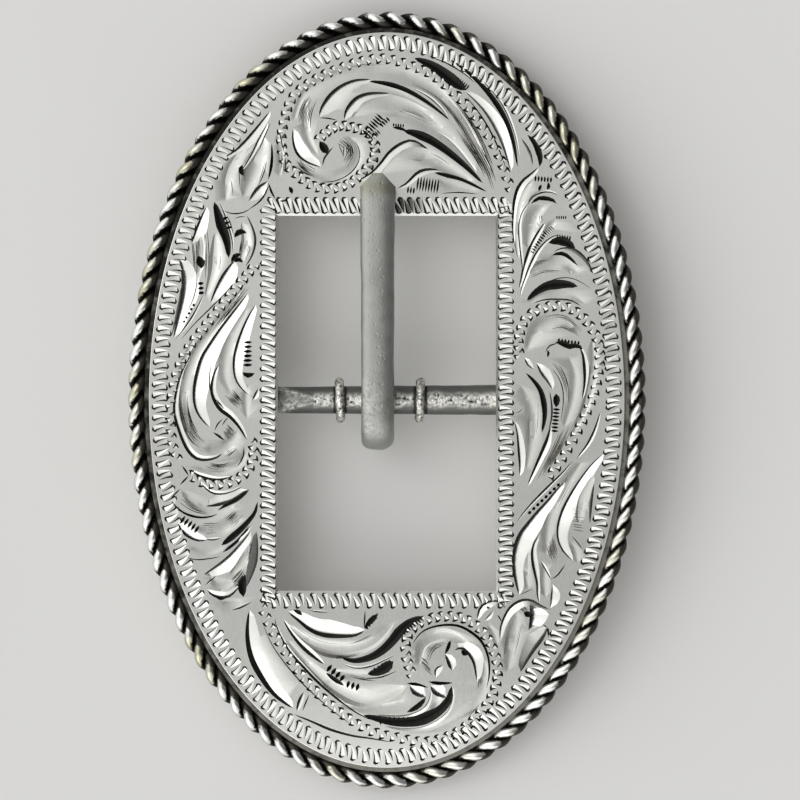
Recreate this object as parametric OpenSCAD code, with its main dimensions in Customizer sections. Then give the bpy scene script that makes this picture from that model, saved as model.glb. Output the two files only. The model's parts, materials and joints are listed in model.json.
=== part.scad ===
// Western headstall buckle: an arched oval plate with a strap window, a twisted rope edge,
// a fixed cross bar with two wire collars, and a tongue that swings on the bar.
// Millimetres, +Z up, face up. The tongue points along +Y, and the part rests on z = 0.

/* [Oval plate] */
// Width over the rope edge
oval_w = 47.5; // [46:0.5:50]
// Length over the rope edge
oval_l = 71.7; // [70:0.1:74]
// Thickness of the plate under the engraving
plate_t = 1.8; // [1.6:0.1:2]
// Thickness of the ledge that carries the rope
ledge_t = 0.5; // [0.4:0.1:0.7]
// Distance that the ledge stays inside the outline
ledge_inset = 0.45; // [0.3:0.05:0.7]
// Width of the smooth lip between the rope and the engraved face
lip_w = 0.42; // [0.3:0.02:0.6]
// Depth of that lip below the face
lip_drop = 0.3; // [0.2:0.05:0.5]
// Rise of the back in the middle over the two ends that it rests on
arch_rise = 5.6; // [5.5:0.1:6.5]

/* [Strap window] */
// Width of the window, for a strap of 19 mm
window_w = 20; // [19:0.5:22]
// Distance from the middle of the oval to the window's end under the tongue tip
window_top = 16.9; // [16:0.1:17]
// Distance from the middle of the oval to the window's other end
window_bottom = 17.5; // [17:0.1:18.5]

/* [Rope edge] */
// Diameter over the two twisted strands
rope_d = 1.6; // [1.5:0.05:1.8]
// Full turns of the twist round the oval
rope_turns = 48; // [40:4:56]

/* [Cross bar] */
// Diameter of the bar
bar_d = 2.7; // [2.5:0.1:2.8]
// Distance from the back of the plate down to the axis of the bar
bar_drop = 0.85; // [0.8:0.05:0.9]
// Length of bar under each rail of the plate
bar_lap = 4; // [3:0.5:6]
// Length of the filed shoulder at the left end of the bar
shoulder_l = 3.3; // [2:0.1:4]
// Outer diameter of the two collars
collar_d = 4.2; // [4:0.1:4.4]
// Thickness of the collars' wire
collar_wire = 0.8; // [0.7:0.05:0.9]
// Place of the left collar along the bar
left_collar_x = -4.3; // [-5:0.1:-4]
// Place of the right collar along the bar
right_collar_x = 3.05; // [2.5:0.05:4]

/* [Tongue] */
// Width of the rod that the tongue is bent from
tongue_w = 3; // [2.8:0.05:3.1]
// Thickness of the rod over its flat underside
tongue_t = 2.2; // [2:0.1:2.4]
// Place of the tongue along the bar
tongue_x = -0.85; // [-1:0.05:-0.4]
// Distance from the axis of the bar to the end of the tongue's tip
tongue_l = 20.8; // [20:0.1:22]
// Distance from the axis of the bar to where the rod starts to curve down
curve_start = 14; // [13.5:0.1:14.5]
// Radius of that curve, on the underside
curve_r = 34; // [33:1:38]
// Half width of the blunt end between the two filed corners
blunt_half = 0.45; // [0.3:0.05:0.8]
// Slope of the filed corners
corner_angle = 48; // [40:1:60]
// Width of the eye
eye_w = 3.1; // [3.1:0.05:3.3]
// Radius of the eye's outside
eye_r = 3.6; // [3.5:0.05:3.6]
// Distance from the axis of the bar back to the middle of the eye's outside
eye_back = 1; // [0.9:0.05:1]
// Clearance between the eye and the bar, on the radius
eye_clearance = 0.1; // [0.05:0.01:0.1]

/* [Hidden] */

// Depth that the rope is sunk into its ledge and the lip by the solder
solder_depth = 0.08;
// Flats that make up the oval wall of the plate
oval_sides = 72;
// Spare length of a cutting body past the faces that it cuts
spare = 1;
bar_r = bar_d / 2;

// The back of the plate is part of a cylinder along X, and its lowest points are on z = 0
rest_half = oval_l / 2 - ledge_inset;
arch_r = (rest_half * rest_half + arch_rise * arch_rise) / (2 * arch_rise);
arch_z = arch_rise - arch_r;
bar_z = arch_rise - bar_drop;

// The rope's centre line: half axes of its oval, and the radius of its arch
rope_a = (oval_w - rope_d) / 2;
rope_b = (oval_l - rope_d) / 2;
rope_arch = arch_r + ledge_t - solder_depth + rope_d / 2;
// Radius of one strand, and the distance of its middle from the centre line
strand_r = 0.54 * rope_d / 2;
strand_off = rope_d / 2 - strand_r;
// The section's points, as angles from the line through both strands
section_angles = [0, 42, 90, 138, 180, 222, 270, 318];
rings_per_lobe = 3;
rope_rings = 2 * rope_turns * rings_per_lobe;

bore_r = bar_r + eye_clearance;
// Wall between the bore and the underside of the rod, and the hump of the eye over the rod's top
bore_wall = 0.17;
eye_hump = 0.05;
rod_low = bar_z + bore_r + bore_wall;
rod_high = rod_low + tongue_t;
eye_z = rod_high + eye_hump - eye_r;
tip_angle = asin((tongue_l - curve_start) / (curve_r + tongue_t));

// An upright oval column whose wall lies inset from the outline
module oval_column(inset) {
    half_w = oval_w / 2 - inset;
    half_l = oval_l / 2 - inset;
    translate([0, 0, -spare])
        linear_extrude(arch_rise + plate_t + 2 * spare)
            polygon([for (i = [0:oval_sides - 1]) let (t = 360 * i / oval_sides)
                [half_w * cos(t), half_l * sin(t)]]);
}

// A layer of the arched plate, between two heights over its back
module arched_layer(low, high) {
    translate([0, 0, arch_z])
        rotate([0, 90, 0])
            difference() {
                cylinder(r = arch_r + high, h = oval_w + spare, center = true, $fn = 90);
                cylinder(r = arch_r + low, h = oval_w + 2 * spare, center = true, $fn = 90);
            }
}

module window_cut() {
    translate([-window_w / 2, -window_bottom, 0])
        cube([window_w, window_top + window_bottom, arch_rise + plate_t + spare]);
}

// The ledge, the lip and the raised face, one above the other
module plate() {
    lip_inset = rope_d - solder_depth;
    difference() {
        union() {
            intersection() {
                oval_column(ledge_inset);
                arched_layer(0, ledge_t);
            }
            intersection() {
                oval_column(lip_inset);
                arched_layer(0, plate_t - lip_drop);
            }
            intersection() {
                oval_column(lip_inset + lip_w);
                arched_layer(0, plate_t);
            }
        }
        window_cut();
    }
}

// The bar runs under both rails, and its left end is filed down to the back of the rail
module cross_bar() {
    half = window_w / 2 + bar_lap;
    bevel = 0.5;
    cut_depth = bar_r - bar_drop;
    translate([0, 0, bar_z])
        difference() {
            rotate([0, 90, 0])
                union() {
                    cylinder(r = bar_r, h = 2 * (half - bevel), center = true, $fn = 48);
                    for (side = [0, 180])
                        rotate([side, 0, 0])
                            translate([0, 0, half - bevel])
                                cylinder(r1 = bar_r, r2 = bar_r - bevel, h = bevel, $fn = 48);
                }
            translate([-window_w / 2, -bar_d, bar_r - cut_depth])
                rotate([0, -atan(cut_depth / shoulder_l), 0])
                    cube([shoulder_l + spare, 2 * bar_d, bar_d]);
        }
}

module collar(x) {
    translate([x, 0, bar_z])
        rotate([0, 90, 0])
            rotate_extrude($fn = 40)
                translate([(collar_d - collar_wire) / 2, 0])
                    circle(d = collar_wire, $fn = 20);
}

module collared_bar() {
    union() {
        cross_bar();
        collar(left_collar_x);
        collar(right_collar_x);
    }
}

// Slope of the rope's arch at y, and the path's length for each degree of the oval
function arch_slope(y) = -y / sqrt(rope_arch * rope_arch - y * y);
function path_tangent(t) = let (dy = rope_b * cos(t))
    [-rope_a * sin(t), dy, dy * arch_slope(rope_b * sin(t))];
function path_speed(t) = norm(path_tangent(t)) * PI / 180;
function path_point(t) = let (y = rope_b * sin(t))
    [rope_a * cos(t), y, arch_z + sqrt(rope_arch * rope_arch - y * y)];

// Angles round the oval that are evenly spaced along the rope, the last one closing the ring
function even_angles(count) = let (
    speeds = [for (t = [0.5:1:359.5]) path_speed(t)],
    step = speeds * [for (s = speeds) 1] / count,
    raw = [for (i = 0, t = 0; i <= count;
        i = i + 1, t = t + step / path_speed(t + step / path_speed(t) / 2)) t])
    raw * 360 / raw[count];

// Outline of the two strands side by side, as a radius at each angle
function strand_radius(angle) = let (s = strand_off * sin(angle))
    strand_off * abs(cos(angle)) + sqrt(strand_r * strand_r - s * s);

// One ring of the rope: outward and upward directions carry the turned section
function rope_ring(t, turn) = let (
    along = path_tangent(t) / norm(path_tangent(t)),
    up = [0, rope_b * sin(t), sqrt(pow(rope_arch, 2) - pow(rope_b * sin(t), 2))] / rope_arch,
    out = cross(along, up))
    [for (a = section_angles)
        path_point(t) + strand_radius(a) * (out * cos(a + turn) + up * sin(a + turn))];

// Two strands twisted together, closed on themselves round the oval
module rope_edge() {
    angles = even_angles(rope_rings);
    sides = len(section_angles);
    points = [for (i = [0:rope_rings - 1])
        each rope_ring(angles[i], -i * 360 * rope_turns / rope_rings)];
    faces = [for (i = [0:rope_rings - 1], j = [0:sides - 1]) let (
        here = i * sides,
        next = (i + 1) % rope_rings * sides,
        k = (j + 1) % sides)
        each [[here + j, here + k, next + k], [here + j, next + k, next + j]]];
    polyhedron(points, faces, convexity = 4);
}

// The plate with the bar, the collars and the rope soldered to it
module buckle_frame() {
    color("silver")
        union() {
            union() {
                plate();
                collared_bar();
            }
            rope_edge();
        }
}

// The rod's section, round with a flat underside, its top at height 0
module rod_section() {
    difference() {
        translate([0, -tongue_w / 2])
            circle(d = tongue_w, $fn = 40);
        translate([-tongue_w, -tongue_t - tongue_w])
            square([2 * tongue_w, tongue_w]);
    }
}

// The straight length of the rod, from the crest of the eye
module shank() {
    translate([0, curve_start, rod_high])
        rotate([90, 0, 0])
            linear_extrude(curve_start + eye_back)
                rod_section();
}

// The last length of the rod curves down to the face, and its end is filed blunt with two corners
module tip() {
    top_r = curve_r + tongue_t;
    difference() {
        translate([0, curve_start, rod_high - top_r])
            rotate([0, -90, 0])
                rotate_extrude(angle = tip_angle, $fn = 360)
                    translate([top_r, 0])
                        rotate([0, 0, -90])
                            rod_section();
        for (side = [0, 1])
            mirror([side, 0, 0])
                translate([blunt_half, tongue_l, 0])
                    rotate([0, 0, -corner_angle])
                        cube([tongue_w, tongue_w, 2 * rod_high]);
    }
}

// A round-edged ring whose outside lies back of the bar's axis
module eye() {
    rim_r = eye_w / 2;
    translate([0, -eye_back, eye_z])
        rotate([0, 90, 0])
            rotate_extrude($fn = 72)
                union() {
                    translate([0, -rim_r])
                        square([eye_r - rim_r, eye_w]);
                    translate([eye_r - rim_r, 0])
                        circle(r = rim_r, $fn = 40);
                }
}

module tongue() {
    color("darkgray")
        translate([tongue_x, 0, 0])
            difference() {
                union() {
                    eye();
                    shank();
                    tip();
                }
                translate([0, 0, bar_z])
                    rotate([0, 90, 0])
                        cylinder(r = bore_r, h = 2 * eye_w, center = true, $fn = 64);
            }
}

buckle_frame();
tongue();
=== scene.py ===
# Western headstall buckle: an engraved oval plate with a rope edge, a cross bar with two collars,
# and a tongue. Meshes are shaped in millimetres, and each is scaled to metres once, when it is finished.
import json
import math
import random

import bmesh
import bpy
from mathutils import Matrix, Vector, noise
from mathutils.kdtree import KDTree

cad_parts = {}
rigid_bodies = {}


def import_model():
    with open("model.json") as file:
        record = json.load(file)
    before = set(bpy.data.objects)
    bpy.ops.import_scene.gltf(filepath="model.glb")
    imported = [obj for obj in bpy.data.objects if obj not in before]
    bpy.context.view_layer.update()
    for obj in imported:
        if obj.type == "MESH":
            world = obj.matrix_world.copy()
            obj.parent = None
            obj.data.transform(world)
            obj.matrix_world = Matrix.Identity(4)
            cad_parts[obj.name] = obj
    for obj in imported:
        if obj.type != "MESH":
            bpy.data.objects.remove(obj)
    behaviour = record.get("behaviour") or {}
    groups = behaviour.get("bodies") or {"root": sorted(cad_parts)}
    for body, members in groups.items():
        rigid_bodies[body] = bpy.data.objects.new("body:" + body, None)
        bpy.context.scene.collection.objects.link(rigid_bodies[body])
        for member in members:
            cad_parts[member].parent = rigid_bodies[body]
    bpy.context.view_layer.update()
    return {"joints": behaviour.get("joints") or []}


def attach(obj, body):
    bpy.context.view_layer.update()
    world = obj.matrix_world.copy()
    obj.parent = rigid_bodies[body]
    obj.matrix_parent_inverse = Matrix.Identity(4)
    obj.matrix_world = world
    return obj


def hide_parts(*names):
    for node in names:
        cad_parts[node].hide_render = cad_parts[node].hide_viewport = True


for leftover in list(bpy.data.objects):
    bpy.data.objects.remove(leftover)
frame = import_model()
mm = 0.001
random.seed(7)
print("frame loaded")

# What the pieces share: the oval's size, and the arch that the whole plate follows
plate = {
    "width": 47.5,
    "length": 71.7,
    "archRise": 5.6,
    "ledge": 0.5,  # heights over the back
    "lip": 1.5,
    "face": 1.8,
    "ledgeInset": 0.45,  # distances inside the outline
    "lipInset": 1.52,
    "faceInset": 1.94,
    "rimBevel": 0.06,
    "oxideHeights": (0.45, 1.75),  # oxide stays in the groove beside the rope, between these
    "windowWidth": 20.0,
    "windowTop": 16.9,
    "windowBottom": -17.5,
    "windowBevel": 0.24,
    "windowUnder": 1.0,  # how far its cutter reaches under the back
    "ovalSides": 240,
    "stripLength": 2.0,  # the flats that follow the arch
}
hinge = Vector(frame["joints"][0]["pos_m"]) / mm
restHalf = plate["length"] / 2 - plate["ledgeInset"]
backRadius = (restHalf**2 + plate["archRise"] ** 2) / (2 * plate["archRise"])


def archHeight(y, level):  # height of a layer of the plate
    radius = backRadius + level
    return plate["archRise"] - backRadius + math.sqrt(radius * radius - y * y)


def ovalPath(inset, count=720):  # points round an oval that lies inside the outline
    halfWidth = plate["width"] / 2 - inset
    halfLength = plate["length"] / 2 - inset
    turns = [2 * math.pi * k / count for k in range(count)]
    return [Vector((halfWidth * math.cos(t), halfLength * math.sin(t))) for t in turns]


def smoothPath(points, steps=8):  # a smooth line through the laid-out points
    ends = [Vector(p) for p in (points[0], *points, points[-1])]
    path = []
    for a, b, c, d in zip(ends, ends[1:], ends[2:], ends[3:]):
        for k in range(steps):
            t = k / steps
            bend = (2 * a - 5 * b + 4 * c - d) * t * t + (3 * b - a - 3 * c + d) * t**3
            path.append(b + ((c - a) * t + bend) / 2)
    path.append(ends[-1])
    return path


def evenPath(points, spacing, closed=False, pace=None):  # the same line in even steps
    line = points + points[:1] if closed else points
    lengths = [(b - a).length / (pace[k] if pace else 1) for k, (a, b) in enumerate(zip(line, line[1:]))]
    total = sum(lengths)
    count = max(1, round(total / spacing))
    path, index, passed = [], 0, 0.0
    for k in range(count if closed else count + 1):
        goal = total * k / count
        while index < len(lengths) - 1 and passed + lengths[index] < goal:
            passed += lengths[index]
            index += 1
        share = (goal - passed) / lengths[index] if lengths[index] else 0
        path.append(line[index].lerp(line[index + 1], min(1, share)))
    return path


def directions(path, closed=False):  # unit direction of the line at each point
    count = len(path)
    found = []
    for k in range(count):
        before = path[k - 1] if closed or k else path[0]
        after = path[(k + 1) % count] if closed or k < count - 1 else path[-1]
        found.append((after - before).normalized())
    return found


def clamped(value):
    return min(1.0, max(0.0, value))


def pairs(numbers):  # x and y by turns, as points
    return list(zip(numbers[::2], numbers[1::2]))


def whole(bm):  # all of a mesh, for the operators that ask what to work on
    return bm.verts[:] + bm.edges[:] + bm.faces[:]


def hexColour(code):  # sRGB hex to the linear colour that Blender works in
    parts = [int(code[k : k + 2], 16) / 255 for k in (1, 3, 5)]
    linear = [c / 12.92 if c <= 0.04045 else ((c + 0.055) / 1.055) ** 2.4 for c in parts]
    return (*linear, 1.0)


def setNode(tree, node, values):  # a socket is linked, a hex colour or number set on its input
    for name, value in values.items():
        if isinstance(value, bpy.types.NodeSocket):
            tree.links.new(value, node.inputs[name])
        elif isinstance(name, int) or name in node.inputs:
            node.inputs[name].default_value = hexColour(value) if isinstance(value, str) else value
        else:
            setattr(node, name, value)


def addNode(tree, kind, values=None):  # a node with its settings and links, gives its outputs
    node = tree.nodes.new("ShaderNode" + kind)
    setNode(tree, node, values or {})
    return node.outputs


def newMaterial(name):  # a material, its nodes, and its place in millimetres
    material = bpy.data.materials.new(name)
    material.use_nodes = True
    tree = material.node_tree
    where = addNode(tree, "TexCoord")["Object"]
    return material, tree, addNode(tree, "Mapping", {"Scale": (1 / mm,) * 3, 0: where})[0]


def finishMaterial(material, looks):
    setNode(material.node_tree, material.node_tree.nodes["Principled BSDF"], looks)
    return material


def meshFrom(bm, name):  # a finished mesh out of a working one
    mesh = bpy.data.meshes.new(name)
    bm.to_mesh(mesh)
    bm.free()
    return mesh


def addObject(name, data):
    thing = bpy.data.objects.new(name, data)
    bpy.context.scene.collection.objects.link(thing)
    return thing


def finishPiece(bm, name, materials, body, node, sharp=30):
    bmesh.ops.scale(bm, vec=(mm, mm, mm), verts=bm.verts)
    mesh = meshFrom(bm, name)
    for material in materials:
        mesh.materials.append(material)
    mesh.shade_smooth()
    mesh.set_sharp_from_angle(angle=math.radians(sharp))
    piece = addObject(name, mesh)
    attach(piece, body)
    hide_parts(node)
    print(name, "has", sum(len(p.vertices) - 2 for p in mesh.polygons), "triangles")


# Camera straight above the face. The photograph's centre lies a little right of the oval's.
camera = {"centre": (1.2, 0.0), "seen": 73.6, "distance": 800.0, "focus": 4.0, "sensor": 36.0}


def setCamera():
    lens = bpy.data.cameras.new("camera")
    lens.sensor_width = camera["sensor"]
    lens.lens = camera["sensor"] * camera["distance"] / camera["seen"]
    lens.clip_start = 0.01
    eye = addObject("camera", lens)
    eye.location = Vector((*camera["centre"], camera["distance"] + camera["focus"])) * mm
    bpy.context.scene.camera = eye


# Soft studio light: a tent that is bright on the left and low in front, even overhead and dim on
# the right and behind, so that facets cut one way flash and the others stay grey, and a soft box
studio = {
    "box": {"place": (-0.75, 0.45, 1.15), "size": (0.6, 0.9), "power": 1.1},
    "tent": {  # for each way, the share of the way across the sky and the brightness there
        (-1.0, 0.0, 0.0): [
            (0.0, 0.08), (0.3, 0.13), (0.44, 0.25), (0.5, 0.54), (0.56, 0.83),
            (0.66, 0.97), (0.74, 1.06), (0.84, 1.12), (1.0, 0.8),
        ],
        (0.0, -1.0, 0.0): [
            (0.0, 0.1), (0.25, 0.1), (0.4, 0.12), (0.5, 0.1), (0.62, 0.04),
            (0.74, 0.02), (0.78, 0.4), (0.84, 0.78), (1.0, 0.85),
        ],
    },
    "floorSize": 3.0,
}


def setLights():
    box = studio["box"]
    lamp = bpy.data.lights.new("softBox", "AREA")
    lamp.shape = "RECTANGLE"
    lamp.size, lamp.size_y = box["size"]
    lamp.energy = box["power"] * math.pi * lamp.size * lamp.size_y
    holder = addObject("softBox", lamp)
    holder.location = box["place"]
    holder.rotation_euler = (-Vector(box["place"])).to_track_quat("-Z", "Y").to_euler()
    world = bpy.data.worlds.new("tent")
    world.use_nodes = True
    tree = world.node_tree
    where = addNode(tree, "TexCoord")["Generated"]
    glows = []
    for way, points in studio["tent"].items():
        across = addNode(tree, "VectorMath", {"operation": "DOT_PRODUCT", 0: where, 1: way})["Value"]
        share = addNode(tree, "MapRange", {"From Min": -1.0, "From Max": 1.0, 0: across})[0]
        ramp = addNode(tree, "FloatCurve", {"Value": share})[0]
        curve = ramp.node.mapping.curves[0]
        top = max(level for place, level in points)
        for number, (place, level) in enumerate(points):
            point = curve.points[number] if number < 2 else curve.points.new(place, level / top)
            point.location = (place, level / top)
        ramp.node.mapping.update()
        glows.append(addNode(tree, "Math", {"operation": "MULTIPLY", 0: ramp, 1: top})[0])
    glow = addNode(tree, "Math", {"operation": "ADD", 0: glows[0], 1: glows[1]})[0]
    setNode(tree, tree.nodes["Background"], {"Strength": glow, "Color": (1, 1, 1, 1)})
    bpy.context.scene.world = world
    bpy.context.scene.view_settings.view_transform = "Standard"


def paintedFloor():  # matt painted board: a plain pale sweep with the faintest unevenness
    material, tree, place = newMaterial("mattPaintedBoard")
    cloud = addNode(tree, "TexNoise", {"Scale": 1 / 60, "Detail": 3.0, "Vector": place})[0]
    tint = addNode(tree, "Mix", {"data_type": "RGBA", 0: cloud, 6: "#e6e5e2", 7: "#edecea"})[2]
    return finishMaterial(material, {"Base Color": tint, "Roughness": 0.85})


def setFloor():
    bm = bmesh.new()
    bmesh.ops.create_grid(bm, x_segments=1, y_segments=1, size=studio["floorSize"] / 2)
    mesh = meshFrom(bm, "floor")
    mesh.materials.append(paintedFloor())
    floor = addObject("floor", mesh)


setCamera()
setLights()
setFloor()
print("camera, light and floor set")


def polishedNickelSilver():
    # Nickel silver sheet, polished and then cut with a bright graver: a soft grey mirror with a
    # slightly warm tone, hairline polishing marks about 0.1 mm apart and a faint swell
    material, tree, place = newMaterial("polishedNickelSilver")
    cloud = addNode(tree, "TexNoise", {"Scale": 1 / 5, "Detail": 4.0, "Vector": place})[0]
    tint = addNode(tree, "Mix", {"data_type": "RGBA", 0: cloud, 6: "#d6d5cf", 7: "#e4e4e0"})[2]
    grain = addNode(tree, "Mapping", {"Scale": (9.0, 1.1, 3.0), 0: place})[0]
    hairs = addNode(tree, "TexNoise", {"Scale": 1.0, "Detail": 3.0, "Vector": grain})[0]
    rough = addNode(tree, "MapRange", {"To Min": 0.16, "To Max": 0.34, 0: hairs})[0]
    swell = addNode(tree, "TexNoise", {"Scale": 1 / 1.6, "Detail": 2.0, "Vector": place})[0]
    broad = addNode(tree, "Bump", {"Strength": 0.25, "Distance": 0.03 * mm, "Height": swell})[0]
    marks = {"Strength": 0.05, "Distance": 0.006 * mm, "Height": hairs, "Normal": broad}
    fine = addNode(tree, "Bump", marks)[0]
    looks = {"Base Color": tint, "Metallic": 1.0, "Roughness": rough, "Normal": fine}
    return finishMaterial(material, looks)


def oxidisedCut():
    # Liver of sulphur left in the deep cuts: near black, dull, rubbed a little browner in places. On the
    # border taps it also covers the wall turned from the light, as painted shade.
    material, tree, place = newMaterial("oxidisedCut")
    cloud = addNode(tree, "TexNoise", {"Scale": 1 / 0.7, "Detail": 4.0, "Vector": place})[0]
    tint = addNode(tree, "Mix", {"data_type": "RGBA", 0: cloud, 6: "#0f0f0d", 7: "#2f2e2a"})[2]
    return finishMaterial(material, {"Base Color": tint, "Metallic": 0.6, "Roughness": 0.48})


def rubbedOxideAndShade():
    # Nickel silver under worn liver of sulphur: mid grey, mottled, darker where it was not rubbed, and
    # painted darker towards the upper left as shade
    material, tree, place = newMaterial("rubbedOxideAndShade")
    cloud = addNode(tree, "TexNoise", {"Scale": 1 / 0.9, "Detail": 5.0, "Vector": place})[0]
    # painted shade: the tone falls off towards the upper left, where the groove lies in shade
    lean = {"operation": "DOT_PRODUCT", 0: place, 1: (0.005, -0.005, 0.0)}
    across = addNode(tree, "VectorMath", lean)["Value"]
    mottleAndShade = addNode(tree, "Math", {"operation": "ADD", 0: cloud, 1: across})[0]
    share = addNode(tree, "MapRange", {"From Min": 0.35, "From Max": 0.65, 0: mottleAndShade})[0]
    tint = addNode(tree, "Mix", {"data_type": "RGBA", 0: share, 6: "#262521", 7: "#86847c"})[2]
    return finishMaterial(material, {"Base Color": tint, "Metallic": 0.6, "Roughness": 0.45})


plateMetals = [polishedNickelSilver(), oxidisedCut(), rubbedOxideAndShade()]
bright, dark, greyed = 0, 1, 2  # their places in the plate's list of materials

# How the graver works. Cuts are laid out in plan on the flat plate, and the arch comes after.
graver = {
    "facetSlope": 19.0,  # lean of a bright facet, in degrees
    "facetSpread": (0.7, 1.1),  # the hand varies it, between these shares
    "hollowSlope": 7.0,
    "hollowSpread": (0.8, 1.2),
    "shadeSlope": 34.0,
    "least": 0.06,  # depth that every line has
    "wall": 1.35,  # the graver leans, so dark walls come out wider than laid out
    "over": 0.12,  # how far a cutter stands over the face
    "lift": 0.004,  # the ends of a stroke leave the face
    "spacing": 0.45,
    "leastSteps": 4,  # a short stroke still has so many steps
    "swelling": 0.45,  # lower is blunter at the ends
    "hairShare": 1.5,  # strokes for each one that a row of hairs counts
    "hairWalls": (0.04, 0.05),  # widths of its grey and its bright wall
    "hairDepth": 0.075,
    "hairSpacing": 1.1,
    "hairPlace": (0.2, 0.8),  # where a hair lies in its share of the row, starts and stops
    "hairStart": (0, 0.25),
    "hairStop": (0.75, 1),
    "ribShare": 0.74,  # of the pitch of a row of ribs, the rest stays bright
    "ribDepth": 1.5,  # as a share of half its width
}

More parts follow.
